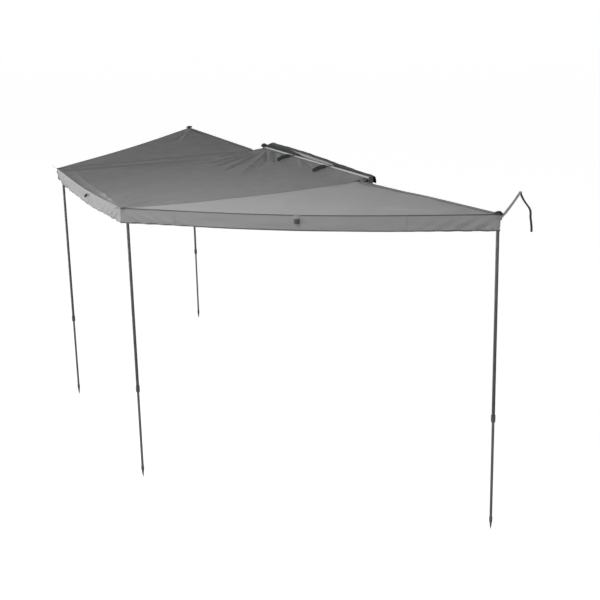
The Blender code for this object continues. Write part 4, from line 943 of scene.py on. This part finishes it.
def tooth_shape(tree):
    return add_node(tree, "GeometryNodeMeshCube", values={"Size": (1, 1, 1)}).outputs["Mesh"]


ROW_SHAPES = {"stitch": stitch_shape, "tooth": tooth_shape}
ROW_SIZES = {"Spacing": 0.009, "Length": 0.0055, "Width": 0.0012, "Height": 0.0008}


@functools.cache
def row_tree(kind):
    """A tree that resamples a path and sets a small shape at each point, along it."""
    tree = bpy.data.node_groups.new(f"{kind}_row", "GeometryNodeTree")
    face = tree.interface
    face.new_socket("Path", in_out="INPUT", socket_type="NodeSocketGeometry")
    for label, default in ROW_SIZES.items():
        socket = face.new_socket(label, in_out="INPUT", socket_type="NodeSocketFloat")
        socket.default_value = default
        socket.subtype = "DISTANCE"
    face.new_socket("Finish", in_out="INPUT", socket_type="NodeSocketMaterial")
    face.new_socket("Pieces", in_out="OUTPUT", socket_type="NodeSocketGeometry")
    given = add_node(tree, "NodeGroupInput").outputs
    curve = add_node(tree, "GeometryNodeMeshToCurve", {"Mesh": given["Path"]}).outputs[0]
    links = {"Curve": curve, "Length": given["Spacing"]}
    points = add_node(tree, "GeometryNodeResampleCurve", links, mode="LENGTH").outputs[0]
    tangent = add_node(tree, "GeometryNodeInputTangent").outputs[0]
    turn = add_node(tree, "FunctionNodeAlignRotationToVector", {"Vector": tangent}, axis="X").outputs[0]
    shape = ROW_SHAPES[kind](tree)
    links = {"X": given["Length"], "Y": given["Width"], "Z": given["Height"]}
    size = add_node(tree, "ShaderNodeCombineXYZ", links).outputs[0]
    links = {"Points": points, "Instance": shape, "Rotation": turn, "Scale": size}
    placed = add_node(tree, "GeometryNodeInstanceOnPoints", links).outputs[0]
    real = add_node(tree, "GeometryNodeRealizeInstances", {"Geometry": placed}).outputs[0]
    painted = add_node(tree, "GeometryNodeSetMaterial", {"Geometry": real, "Material": given["Finish"]})
    add_node(tree, "NodeGroupOutput", {"Pieces": painted.outputs[0]})
    return tree


def laid_row(name, paths, kind, sizes, material):
    """Small pieces along paths, as one plain mesh object. Sizes are spacing, length, width and height."""
    verts, edges = [], []
    for path in paths:
        start = len(verts)
        verts += path
        edges += [(start + k, start + k + 1) for k in range(len(path) - 1)]
    mesh = bpy.data.meshes.new(name + "_path")
    mesh.from_pydata(verts, edges, [])
    guide = bpy.data.objects.new(name + "_path", mesh)
    bpy.context.scene.collection.objects.link(guide)
    modifier = guide.modifiers.new("row", "NODES")
    modifier.node_group = row_tree(kind)
    sockets = {item.name: item.identifier for item in modifier.node_group.interface.items_tree}
    for label, value in zip(ROW_SIZES, sizes):
        modifier[sockets[label]] = value
    modifier[sockets["Finish"]] = finish(material)
    bpy.context.view_layer.update()
    evaluated = guide.evaluated_get(bpy.context.evaluated_depsgraph_get())
    result = bpy.data.meshes.new_from_object(evaluated)
    bpy.data.objects.remove(guide)
    result.name = name
    return new_piece(name, result, finish(material))


# Operators


class AwningOperator(bpy.types.Operator):
    """What the awning's operators share"""

    bl_options = {"REGISTER", "UNDO"}


class AWNING_OT_stage(AwningOperator):
    """Makes the camera, the pale floor, the world and the lamps"""

    bl_idname = "awning.stage"
    bl_label = "Stage"

    def execute(self, context):
        self.camera(context.scene)
        self.world(context.scene)
        self.floor()
        self.lamps(context.scene)
        context.scene.view_settings.view_transform = "Standard"
        return {"FINISHED"}

    def camera(self, scene):
        """The photo's view: its place, then its turn to the right, its tilt down and its roll."""
        yaw, pitch, roll = (math.radians(a) for a in (CAMERA_YAW, CAMERA_PITCH, CAMERA_ROLL))
        tilt = Matrix.Rotation(math.pi / 2 - pitch, 4, "X") @ Matrix.Rotation(roll, 4, "Z")
        data = bpy.data.cameras.new("photo_view")
        data.lens = CAMERA_LENS
        data.sensor_width = 36.0
        camera = bpy.data.objects.new("photo_view", data)
        camera.matrix_world = Matrix.Translation(CAMERA_PLACE) @ Matrix.Rotation(-yaw, 4, "Z") @ tilt
        scene.collection.objects.link(camera)
        scene.camera = camera

    def world(self, scene):
        """A studio's pale walls and dimmer ceiling, which the camera and glossy rays see as plain white."""
        world = bpy.data.worlds.new("pale_studio")
        world.use_nodes = True
        tree = world.node_tree
        light = tree.nodes["Background"]
        light.inputs["Strength"].default_value = 1.0
        aim = add_node(tree, "ShaderNodeTexCoord")
        height = add_node(tree, "ShaderNodeSeparateXYZ", {"Vector": aim.outputs["Generated"]})
        ramp = add_node(tree, "ShaderNodeValToRGB", {"Fac": height.outputs["Z"]})
        for stop, (position, level) in zip(ramp.color_ramp.elements, WORLD_LEVELS):
            stop.position = position
            stop.color = (level, level, level, 1)
        connect(tree, light, {"Color": ramp.outputs[0]})
        white = add_node(tree, "ShaderNodeBackground", values={"Color": (1, 1, 1, 1), "Strength": 1.0})
        rays = add_node(tree, "ShaderNodeLightPath").outputs
        seen = rays["Is Camera Ray"]
        for ray in ("Is Glossy Ray", "Is Transmission Ray"):
            seen = add_node(tree, "ShaderNodeMath", {0: seen, 1: rays[ray]}, operation="MAXIMUM").outputs[0]
        mixed = add_node(tree, "ShaderNodeMixShader", {0: seen, 1: light.outputs[0], 2: white.outputs[0]})
        connect(tree, tree.nodes["World Output"], {"Surface": mixed.outputs[0]})
        scene.world = world

    def floor(self):
        """A matt disc at the feet. It glows for the camera alone, so that it shows as near white."""
        bm = bmesh.new()
        ground = Matrix.Translation(up(GROUND))
        bmesh.ops.create_circle(bm, cap_ends=True, radius=FLOOR_RADIUS, segments=64, matrix=ground)
        mesh = bpy.data.meshes.new("floor")
        bm.to_mesh(mesh)
        bm.free()
        material, tree, shader = start_material("matt_studio_floor", 0.9, Specular_IOR_Level=0.1)
        seen = add_node(tree, "ShaderNodeLightPath").outputs["Is Camera Ray"]
        tones = {6: linear(FLOOR_LIT), 7: linear(FLOOR_SEEN)}
        paint = add_node(tree, "ShaderNodeMix", {0: seen}, tones, data_type="RGBA")
        connect(tree, shader, {"Base Color": paint.outputs[2]})
        share = add_node(tree, "ShaderNodeMath", {0: seen}, {1: FLOOR_GLOW}, operation="MULTIPLY")
        glow = add_node(tree, "ShaderNodeEmission", {"Strength": share.outputs[0]}, {"Color": (1, 1, 1, 1)})
        both = add_node(tree, "ShaderNodeAddShader", {0: shader.outputs[0], 1: glow.outputs[0]})
        connect(tree, tree.nodes["Material Output"], {"Surface": both.outputs[0]})
        new_piece("floor", mesh, material)

    def lamps(self, scene):
        """A low wall of light beside each row of valances, and a softbox above the roof's rear."""
        for name, place, aim, size, power in LAMPS:
            data = bpy.data.lights.new(name, "AREA")
            data.shape = "RECTANGLE"
            data.size, data.size_y = size
            data.energy = power
            lamp = bpy.data.objects.new(name, data)
            lamp.location = place
            lamp.rotation_euler = (Vector(aim) - Vector(place)).to_track_quat("-Z", "Y").to_euler()
            scene.collection.objects.link(lamp)


class AWNING_OT_tie(AwningOperator):
    """Makes the webbing tie from the rear end arm's tip, with its hook and its loose tail, which is drawn
    dark as painted shade
    """

    bl_idname = "awning.tie"
    bl_label = "Tie"

    def execute(self, context):
        inward, aside = TIE_START
        loop = Vector((TIP_NOSE + LOOP_REACH - LOOP_BAR + inward, LOOP_INSET + aside, 0))
        start = ARMS["rear_end"].tip @ loop
        along = (HOOK_PLACE - start).normalized()
        level = along.cross(up(1)).normalized()
        sideways = Vector((level.x, level.y, 0)).normalized()
        facing = Vector((along.x, along.y, 0)).normalized()
        end = HOOK_PLACE - along * (ADJUSTER_LENGTH / 2 + SEAT_GAP)

        def across(share):
            first, second = TIE_TURN_PLACES
            early, late = smooth_step(share / first), smooth_step((share - second) / (1 - second))
            turn = math.radians(TIE_TURNS[0] * early + TIE_TURNS[1] * late)
            return (up(math.cos(turn)) - level * math.sin(turn)) * WEBBING_WIDTH / 2

        def tail_across(share):
            turn = math.radians(TAIL_TURN * smooth_step(share * 3))
            return (sideways * math.cos(turn) + facing * math.sin(turn)) * WEBBING_WIDTH / 2

        path = [start.lerp(end, t) - up(TIE_SAG * 4 * t * (1 - t)) for t in shares(TIE_STEPS)]
        tie = ribbon("tie_webbing", path, across, WEBBING, "tie")
        below = HOOK_PLACE - level.cross(along).normalized() * (ADJUSTER_THICKNESS / 2 + SEAT_GAP)
        # The tail is the tie's own webbing, drawn in the dark strap finish as painted shade where it hangs.
        tail_path = smooth_path([below + sideways * a + up(b) for a, b in TAIL_ROUTE], 8)
        tail = ribbon("tie_loose_tail", tail_path, tail_across, WEBBING, "strap")
        hook = dressed_copy("tie_hook", "plastic", 0.0006)
        stand_for(tie, "tie_strap")
        stand_for(tail, "tie_tail")
        path_length(path)
        path_length(tail_path)
        for piece in (tie, tail, hook):
            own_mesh(piece)
        return {"FINISHED"}


def dressed_copy(node, material, bevel):
    """Stands for a CAD node: the same shape with its facets merged, round faces smooth and edges eased."""
    bm = bmesh.new()
    bm.from_mesh(NODES[node].data)
    bmesh.ops.remove_doubles(bm, verts=bm.verts, dist=1e-5)
    bmesh.ops.dissolve_limit(bm, angle_limit=math.radians(0.5), verts=bm.verts, edges=bm.edges)
    piece = piece_from(bm, node + "_finished", material, 32, turn_outwards=False)
    if bevel:
        ease = piece.modifiers.new("eased_edges", "BEVEL")
        ease.width = bevel
        ease.segments = 2
        ease.limit_method = "ANGLE"
        ease.angle_limit = math.radians(40)
        ease.harden_normals = True
    return stand_for(piece, node)


class AWNING_OT_hardware(AwningOperator):
    """Finishes the board, rail, brackets, hinges, arms, knuckles, tips and leg heads"""

    bl_idname = "awning.hardware"
    bl_label = "Hardware"

    def execute(self, context):
        for node in NODES:
            for word, material, bevel in HARDWARE:
                if word in node:
                    dressed_copy(node, material, bevel)
                    break
        return {"FINISHED"}


class AWNING_OT_legs(AwningOperator):
    """Makes each leg's tubes, twist lock and spiked foot"""

    bl_idname = "awning.legs"
    bl_label = "Legs"

    def execute(self, context):
        sides = context.scene.awning_sizes.tube_sides
        bottom = -UPPER_START - UPPER_LENGTH
        low = SPIKE_LENGTH + FOOT_HEIGHT - FOOT_SOCKET + SEAT_GAP
        for name, arm in ARMS.items():
            foot = arm.leg @ Matrix.Translation(up(GROUND - arm.leg.translation.z))
            upper, lower = (-UPPER_START, bottom), (low + LOWER_LENGTH, low)
            self.tube(f"{name}_leg_upper", arm.leg, UPPER_RADIUS, upper, sides, "alloy")
            self.tube(f"{name}_leg_lower", foot, LOWER_RADIUS, lower, sides, "inner_alloy")
            self.lock(f"{name}_leg_lock", arm.leg @ Matrix.Translation(up(bottom)))
            self.foot(f"{name}_leg_foot", foot, sides)
        return {"FINISHED"}

    def place(self, node, bm, material):
        stand_for(piece_from(bm, node + "_finished", material), node)

    def tube(self, node, matrix, radius, ends, sides, material):
        """A tube with eased edges: its outside from the top down, then its bore from the bottom up."""
        top, bottom = ends
        inner, ease = radius - LEG_WALL, 0.0003
        profile = [(radius, top - ease), (radius, bottom + ease), (radius - ease, bottom)]
        profile += [(inner + ease, bottom), (inner, bottom + ease), (inner, top - ease)]
        profile += [(inner + ease, top), (radius - ease, top)]
        self.place(node, turned(profile, sides, matrix, closed=True), material)

    def lock(self, node, matrix):
        """A waisted twist lock with grip ribs, a shoulder at each end and a step inside."""
        top, bottom = COLLAR_LAP, COLLAR_LAP - COLLAR_LENGTH
        wide, narrow = UPPER_RADIUS + SEAT_GAP, LOWER_RADIUS + SEAT_GAP
        profile = [(wide, top)]
        profile += [(COLLAR_RADIUS - inset, top + rise) for inset, rise in COLLAR_TOP]
        profile += [(COLLAR_RADIUS - inset, bottom + rise) for inset, rise in COLLAR_BOTTOM]
        profile += [(narrow, bottom), (narrow, -SEAT_GAP), (wide, -SEAT_GAP)]
        self.place(node, turned(profile, 48, matrix, closed=True), "plastic")
        ends = (bottom + GRIP_ENDS[0], top + GRIP_ENDS[1])
        ribs = []
        for k in range(GRIP_RIBS):
            turn = matrix @ Matrix.Rotation(math.tau * k / GRIP_RIBS, 4, "Z")
            ribs.append([turn @ Vector((COLLAR_RADIUS - GRIP_INSET, 0, z)) for z in ends])
        grip = laid_row(node + "_grip", ribs, "tooth", GRIP_RIB, "plastic")
        attach(grip, BODY_OF[node])

    def foot(self, node, matrix, sides):
        """A spike that widens into a grooved cap, open at the top for the lower tube."""
        inner, top = LOWER_RADIUS + SEAT_GAP, SPIKE_LENGTH + FOOT_HEIGHT
        floor = top - FOOT_SOCKET
        profile = [(0, 0), (SPIKE_RADIUS * 0.5, 0.006), (SPIKE_RADIUS, 0.016), (SPIKE_RADIUS + 0.0012, 0.018)]
        profile += [(FOOT_RADIUS - inset, SPIKE_LENGTH + rise) for inset, rise in FOOT_TAPER]
        profile += [(FOOT_RADIUS - inset, top + rise) for inset, rise in FOOT_GROOVE]
        profile += [(inner, top), (inner, floor), (0, floor)]
        self.place(node, turned(profile, sides, matrix), "plastic")


class AWNING_OT_canopy(AwningOperator):
    """Makes the centre panel and the two wings, each one sheet with its valance"""

    bl_idname = "awning.canopy"
    bl_label = "Canopy"

    def execute(self, context):
        columns = context.scene.awning_sizes.cloth_columns
        for end in SIDES:
            self.centre(end, columns)
            self.wing(end, columns)
        return {"FINISHED"}

    def panel(self, end, node, canopy, grid, outward, last, cloth, seam_row=0):
        """One cloth with its valance. The rows below seam_row are the centre's cloth."""
        columns, rows = grid
        surface = with_valance(canopy, columns, rows, outward, last)
        piece = sheet_piece(f"{node}_cloth", columns + VALANCE_ROWS, rows, surface, cloth)
        for other in ("valance_cloth", "centre_cloth"):
            piece.data.materials.append(finish(other))
        for polygon in piece.data.polygons:
            column, row = divmod(polygon.index // 2, rows)
            if columns <= column < columns + VALANCE_ROWS:
                polygon.material_index = 1
            elif column < columns and row < seam_row:
                polygon.material_index = 2
        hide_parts(node)
        settle(piece, end, "centre" in node)
        return piece

    def centre(self, end, columns):
        """Half of the centre panel, with the bead that holds its edge in the rail."""
        low, high = half_centre(end)

        def canopy(u, v):
            return centre_surface(u, low + (high - low) * v)

        name, grid = f"centre_canopy_{end}", (columns, columns * 2 // 3)
        piece = self.panel(end, name, canopy, grid, CENTRE_OUTWARD, 1.0, "centre_cloth")
        y0, y1 = sorted((canopy(0, 0).y, canopy(0, 1).y))
        place = Matrix.Translation((RAIL_X, 0, RAIL_Z)) @ Matrix.Rotation(-math.pi / 2, 4, "X")
        bead = turned([(0, y0), (BEAD_RADIUS, y0), (BEAD_RADIUS, y1), (0, y1)], 16, place)
        attach(piece_from(bead, f"{name}_bead", "hem_tape"), "board")

    def wing(self, end, columns):
        """A wing. The rear one starts with a strip of the centre's cloth, up to its seam."""
        # Past this seam the rear wing's cloth is drawn lighter, as painted sheen.
        seam_row = round(columns * SEAM_COLUMNS) if end == "rear" else 0
        seam_v = seam_row / columns

        def canopy(u, v):
            seam = seam_share(end, u)
            if v < seam_v:
                return wing_surface(end, seam * v / seam_v, u)
            return wing_surface(end, min(seam + (1 - seam) * (v - seam_v) / (1 - seam_v), 1.0), u)

        grid, outward, cloth = (columns, columns), wing_outward(end), f"{end}_wing_cloth"
        piece = self.panel(end, f"{end}_wing_canopy", canopy, grid, outward, VALANCE_END, cloth, seam_row)


def tape(name, points, side, material, lift=TAPE_LIFT, thickness=TAPE_THICKNESS):
    """A sewn tape that follows points on the cloth. Side is half its width."""
    return ribbon(name, [p + up(lift) for p in points], side, thickness, material)


def sew(pieces, name, rows, end, centre):
    """Stitches along rows of points just above the cloth, and both they and the pieces settle on it."""
    sizes = bpy.context.scene.awning_sizes
    stitch = (sizes.stitch_spacing, sizes.stitch_length, *THREAD_SIZE)
    for part in (*pieces, laid_row(f"{name}_stitches", rows, "stitch", stitch, "thread")):
        settle(part, end, centre)


class AWNING_OT_hems(AwningOperator):
    """Makes the binding tapes, hems, felled seams and their stitching"""

    bl_idname = "awning.hems"
    bl_label = "Hems and seams"

    def execute(self, context):
        sizes = context.scene.awning_sizes
        for end in SIDES:
            low, high = half_centre(end)
            outer = [centre_surface(1, low + (high - low) * v) for v in shares(CENTRE_HEM_STEPS)]
            self.binding(f"centre_hem_{end}", outer, CENTRE_OUTWARD, sizes.hem_width, end, True)
            self.bottom_hem(f"centre_bottom_hem_{end}", outer, CENTRE_OUTWARD, end, True)
            outward = wing_outward(end)
            outer = [wing_surface(end, s, 1) for s in shares(WING_HEM_STEPS)]
            self.binding(f"{end}_wing_hem", outer, outward, sizes.hem_width, end, False)
            outer = [wing_surface(end, VALANCE_END * s, 1) for s in shares(WING_HEM_STEPS)]
            self.bottom_hem(f"{end}_wing_bottom_hem", outer, outward, end, False)
            for k, share in enumerate(VALANCE_SEAMS):
                self.valance_seam(f"{end}_valance_seam_{k}", wing_surface(end, share, 1), outward, end)
            self.end_hem(end, sizes.hem_width * END_HEM_SHARE)
            self.seam(end, sizes.seam_width)
        return {"FINISHED"}

    def binding(self, name, hem, outward, width, end, centre):
        """Folded tape round the corner between canopy and valance, with its row of stitches."""
        inside, down = -outward * width, up(-width * END_HEM_SHARE)
        rings = []
        for point in hem:
            outer = point + (outward + up(1)) * SEAM_LIFT
            inner = point - (outward + up(1)) * BINDING_SINK
            rings.append((outer + inside, outer, outer + down, inner + down, inner, inner + inside))
        material = "centre_cloth" if centre else "hem_tape"
        piece = lofted(name, hem, rings, len(rings[0]) * width, material, 30)
        row = [p - outward * (width * HEM_STITCH_PLACE) + up(HEM_STITCH_LIFT) for p in hem]
        sew([piece], name, [row], end, centre)

    def bottom_hem(self, name, hem, outward, end, centre):
        """The tape folded over a valance's lower edge."""
        path, row = [], []
        for point in hem:
            low, facing = hanging(point, outward, 1.0)
            path.append(low - facing * (CLOTH / 2) + up(BOTTOM_HEM / 2 - BOTTOM_HEM_LAP))
            row.append(low + facing * HEM_STITCH_LIFT + up(BOTTOM_HEM * HEM_STITCH_PLACE))
        material = "valance_cloth" if centre else "hem_tape"
        piece = ribbon(name, path, up(BOTTOM_HEM / 2), CLOTH + 2 * TAPE_LIFT, material)
        sew([piece], name, [row], end, centre)

    def valance_seam(self, name, point, outward, end):
        """A flat seam down a valance, where two lengths of its strip meet."""
        along = hem_direction(outward)
        start, run = VALANCE_SEAM_SPAN
        drops = [start + run * t for t in shares(VALANCE_ROWS)]
        path = [hanging(point, outward, down)[0] + outward * SEAM_LIFT for down in drops]
        row = [p + along * VALANCE_STITCH_ASIDE + outward * SEAM_LIFT for p in path]
        piece = ribbon(name, path, along * VALANCE_SEAM_WIDTH / 2, TAPE_THICKNESS, "valance_cloth")
        sew([piece], name, [row], end, False)

    def end_hem(self, end, width):
        """The doubled hem over the end arm, the welt beside it, and the tape on the cut-off corner."""
        side = Vector((1, 0, 0))
        edge = [wing_surface(end, 1, t) - side * (width / 2 - HEM_OVERHANG) for t in shares(ARM_HEM_STEPS)]
        hem = tape(f"{end}_end_hem", edge, side * width / 2, "hem_tape")
        inner = [p - side * WELT_INSET for p in edge]
        welt = tape(f"{end}_end_welt", inner, side * WELT_WIDTH / 2, "hem_tape", thickness=THICK_TAPE)
        cut = [wing_surface(end, s, 0) for s in shares(24)]
        across = (cut[-1] - cut[0]).cross(up(SIDES[end])).normalized() * width / 2
        inner = [p - across * CUT_HEM_INSET for p in cut]
        corner_hem = tape(f"{end}_cut_corner_hem", inner, across, "hem_tape")
        rows = [[p - side * inset + up(END_STITCH_LIFT) for p in edge] for inset in END_STITCH_INSETS]
        sew([hem, welt, corner_hem], f"{end}_end", rows, end, False)

    def seam(self, end, width):
        """The felled seam that joins a wing to the centre's cloth."""
        side = Vector((0, 1, 0))
        line = [wing_surface(end, seam_share(end, t), 0.998 * t) for t in shares(ARM_HEM_STEPS)]
        cloth = "front_wing_cloth" if end == "front" else "centre_cloth"
        piece = tape(f"{end}_mid_seam", line, side * width / 2, cloth, SEAM_LIFT)
        rows = [[p + side * aside + up(SEAM_STITCH_LIFT) for p in line] for aside in SEAM_STITCH_PLACES]
        sew([piece], f"{end}_mid", rows, end, False)


class AWNING_OT_corners(AwningOperator):
    """Makes the corners' webbing loops and the guy-line tabs on the valances"""

    bl_idname = "awning.corners"
    bl_label = "Corners and tabs"

    def execute(self, context):
        for name, arm in ARMS.items():
            start, length = CORNER_LOOP_SPAN
            middle = [arm_line(name, arm.reach + start + length * share) for share in shares(8)]
            path = [point + up(CORNER_LOOP_LIFT) for point in middle]
            self.web(name, "corner_loop", path, CORNER_LOOP_WIDTH, WEBBING)
        for name, label, width, thickness, *offsets in CORNER_FOLDS:
            path = smooth_path([corner(name) + Vector(offset) for offset in offsets], 6)
            self.web(name, label, path, width, thickness)
        path = smooth_path([corner("front_mid") + Vector(offset) for offset in FRONT_TAG], 5)
        self.web("front_mid", "tag", path, FRONT_TAG_WIDTH, WEBBING, "tie")
        hem = centre_surface(1, (CENTRE_TAB_Y + HINGE_Y) / (2 * HINGE_Y))
        self.tab("centre_tab", hem, CENTRE_OUTWARD, True, *CENTRE_TAB)
        hem = wing_surface("rear", WING_TAB_SHARE, 1)
        self.tab("rear_wing_tab", hem, wing_outward("rear"), False, *WING_TAB)
        return {"FINISHED"}

    def web(self, arm, label, path, width, thickness, material="strap"):
        """A piece of webbing along a path, on an arm's tip. It lies as flat as its path lets it."""
        side = (path[-1] - path[0]).cross(up(1)).normalized() * width / 2
        attach(ribbon(f"{arm}_{label}", path, side, thickness, material), f"{arm}_arm_body")

    def tab(self, label, hem, outward, centre, down, width, reach, patch, twist, bulge):
        """A webbing loop on a rear valance, under a patch of the valance's cloth where it has one.

        Twist is how far its far end has turned on edge, in degrees.
        """
        along = hem_direction(outward)
        place, facing = hanging(hem, outward, down)
        pieces = []
        if patch:
            path = [hanging(hem, outward, down * t)[0] + facing * PATCH_LIFT for t in shares(8)]
            top, bottom = (along * patch * share for share in PATCH_TAPER)
            piece = ribbon(f"{label}_patch", path, lambda t: top.lerp(bottom, t), THICK_TAPE, "valance_cloth")
            pieces.append(piece)
        out, fall = reach
        middle = facing * out / 2 + up(fall / 2)
        swell = (facing * -fall + up(out)).normalized() * bulge

        def across(share):
            turn = math.radians(twist) * smooth_step(1.3 * math.sin(math.pi * share))
            return (along * math.cos(turn) + up(math.sin(turn))) * width / 2

        path = []
        start, run = TAB_ROUND
        for share in shares(28):
            turn = math.tau * (start + run * share)
            path.append(place + facing * WEBBING + middle * (1 - math.cos(turn)) + swell * math.sin(turn))
        pieces.append(ribbon(f"{label}_loop", path, across, WEBBING, "strap"))
        for piece in pieces:
            settle(piece, "rear", centre)


def cover_line(v):
    """The folded cover's line at a place along the board: up, over the fold and down."""
    crest = COVER_CREST * smooth_step((v + 0.10) / 0.85) * smooth_step((1.03 - v) / 0.09)
    x, start, top = BOARD_HIGH.x + SEAT_GAP, BRACKET_TOP + 0.003, BOARD_HIGH.z
    height = top + crest - start
    wobble = 0.0015 * math.sin(math.tau * 5.3 * v + 1.0) + 0.001 * math.sin(math.tau * 13.1 * v)
    route = (
        (x, start),
        (x, start + height * 0.35),
        (x + 0.004, start + height * 0.80),
        (x + 0.018 + wobble, start + height + wobble),
        (x + 0.034 + wobble, start + height * 0.75),
        (x + 0.044, top - COVER_FALL * 0.4),
        (x + 0.046, top - COVER_FALL),
    )
    return smooth_path([(a, (v - 0.5) * COVER_LENGTH, b) for a, b in route], COVER_STEPS)


def lining_shows(column, v):
    """Whether the cover's bare lining shows in a column of its wall, at a place along the board. Towards the
    front end the dark cover finish rises over it from below, as painted shade.
    """
    ragged = 1.2 * math.sin(math.tau * 9 * v) + 0.9 * math.sin(math.tau * 23 * v + 1.0)
    top = (COVER_STEPS * 2.3 + ragged * 0.6) * smooth_step((v - LINING_START) / 0.05)
    shade_start, shade_end = LINING_SHADE_SPAN
    # Painted shade: towards the front end the lining is drawn in the dark cover finish from the bottom up.
    low = COVER_STEPS * 2.5 * smooth_step((v - shade_start) / (shade_end - shade_start))
    return low <= column < top


class AWNING_OT_cover(AwningOperator):
    """Makes the travel cover, unzipped and folded back behind the rail, with its zip and lining"""

    bl_idname = "awning.cover"
    bl_label = "Travel cover"

    def execute(self, context):
        lines = [cover_line(v) for v in shares(COVER_ROWS)]
        self.skin(lines)
        crest = [line[COVER_STEPS * 3 - 3] + ZIP_LIFT for line in lines]
        zip_tape = ribbon("cover_zip_tape", crest, ZIP_SIDE, ZIP_THICKNESS, "strap")
        pitch = context.scene.awning_sizes.tooth_pitch
        tooth = (pitch, pitch * 0.55, *TOOTH_SECTION)
        teeth = laid_row("cover_zip_teeth", [[p + TEETH_LIFT for p in crest]], "tooth", tooth, "plastic")
        for part in (zip_tape, teeth, self.end_fold()):
            attach(part, "board")
        return {"FINISHED"}

    def skin(self, lines):
        """The cover's wall, with its bare lining outwards where it is turned over. Towards the front end
        painted shade, in the cover's dark finish, covers the lining from below.
        """
        columns = len(lines[0]) - 1

        def surface(i, j):
            line, v = lines[j], j / COVER_ROWS
            along = (line[min(i + 1, columns)] - line[max(i - 1, 0)]).normalized()
            ripple = 0.002 * math.sin(math.tau * 7 * v) * smooth_step(i / columns * 2 - 0.4)
            front = line[i] + Vector((ripple, 0, 0))
            inner = COVER_THICKNESS * Vector((along.z, 0, -along.x))
            return front, front + inner, (i * COVER_COLUMN, v * COVER_LENGTH)

        piece = sheet_piece("travel_cover_skin", columns, COVER_ROWS, surface, "cover")
        piece.data.materials.append(finish("lining"))
        for polygon in piece.data.polygons:
            column, row = divmod(polygon.index // 2, COVER_ROWS)
            outer = polygon.index % 2 == 0 and column < columns
            if outer and lining_shows(column, row / COVER_ROWS):
                polygon.material_index = 1
        stand_for(piece, "travel_cover")

    def end_fold(self):
        """The soft end of the cover, gathered over the board's front end."""
        bm = bmesh.new()
        bmesh.ops.create_icosphere(bm, subdivisions=4, radius=1.0)
        wide, long, high = COVER_END_SIZE
        for vert in bm.verts:
            x, y, z = vert.co
            swell = 1 + 0.06 * math.sin(5 * x + 3 * y) + 0.05 * math.sin(7 * z + 4 * y)
            vert.co = Vector((x * wide, y * long, max(z, -0.45) * high)) * swell + COVER_END_PLACE
        return piece_from(bm, "cover_end_fold", "cover", 60)


class AWNING_OT_storage_straps(AwningOperator):
    """Makes the two straps that hold the folded arms, lying on the cloth"""

    bl_idname = "awning.storage_straps"
    bl_label = "Storage straps"

    def execute(self, context):
        for end, y in STORAGE_STRAP_PLACES.items():
            label = f"storage_strap_{end}"
            path = smooth_path([(x, y + aside, z) for x, aside, z in STORAGE_STRAP_ROUTE], 8)
            piece = ribbon(f"{label}_webbing", path, self.across, WEBBING, "strap")
            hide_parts(label)
            # Partly the strap's doubled end, partly painted shadow: dark webbing below the leaning strap.
            lower = [p + LOOSE_HALF_AND_SHADOW_SHIFT for p in path[LOOSE_HALF_AND_SHADOW_STEP:]]
            half = ribbon(f"{label}_loose_half", lower, self.loose_half_and_shadow_across, WEBBING, "strap")
            for part in (piece, half):
                settle(part, end, True)
        return {"FINISHED"}

    def across(self, share):
        """Half the strap's width: flat on the board, then leaning on edge and partly back."""
        lean = math.radians(STORAGE_STRAP_LEAN) * smooth_step(share * 2.5 - 0.3)
        lean *= 1 - 0.4 * smooth_step(share * 3 - 2)
        return Vector((0, math.cos(lean), math.sin(lean))) * STORAGE_STRAP_WIDTH / 2

    def loose_half_and_shadow_across(self, share):
        return self.across(LOOSE_HALF_AND_SHADOW_START + LOOSE_HALF_AND_SHADOW_SHARE * share) * LOOSE_HALF_AND_SHADOW_WIDTH


OPERATORS = (
    AWNING_OT_stage,
    AWNING_OT_tie,
    AWNING_OT_hardware,
    AWNING_OT_legs,
    AWNING_OT_canopy,
    AWNING_OT_hems,
    AWNING_OT_corners,
    AWNING_OT_cover,
    AWNING_OT_storage_straps,
)


class AWNING_PT_panel(bpy.types.Panel):
    """Lists the awning's operators, sizes and colours"""

    bl_label = "Side Awning"
    bl_idname = "AWNING_PT_panel"
    bl_space_type = "VIEW_3D"
    bl_region_type = "UI"
    bl_category = "Awning"

    def draw(self, context):
        for operator in OPERATORS:
            self.layout.operator(operator.bl_idname)
        for group in (context.scene.awning_sizes, context.scene.awning_colours):
            box = self.layout.box()
            for name in group.__annotations__:
                box.prop(group, name)


CLASSES = (AwningSizes, AwningColours, *OPERATORS, AWNING_PT_panel)


def register():
    for cls in CLASSES:
        bpy.utils.register_class(cls)
    bpy.types.Scene.awning_sizes = bpy.props.PointerProperty(type=AwningSizes)
    bpy.types.Scene.awning_colours = bpy.props.PointerProperty(type=AwningColours)


def unregister():
    del bpy.types.Scene.awning_colours
    del bpy.types.Scene.awning_sizes
    for cls in reversed(CLASSES):
        bpy.utils.unregister_class(cls)


def main():
    register()
    for operator in OPERATORS:
        group, name = operator.bl_idname.split(".")
        getattr(getattr(bpy.ops, group), name)()


if __name__ == "__main__":
    main()
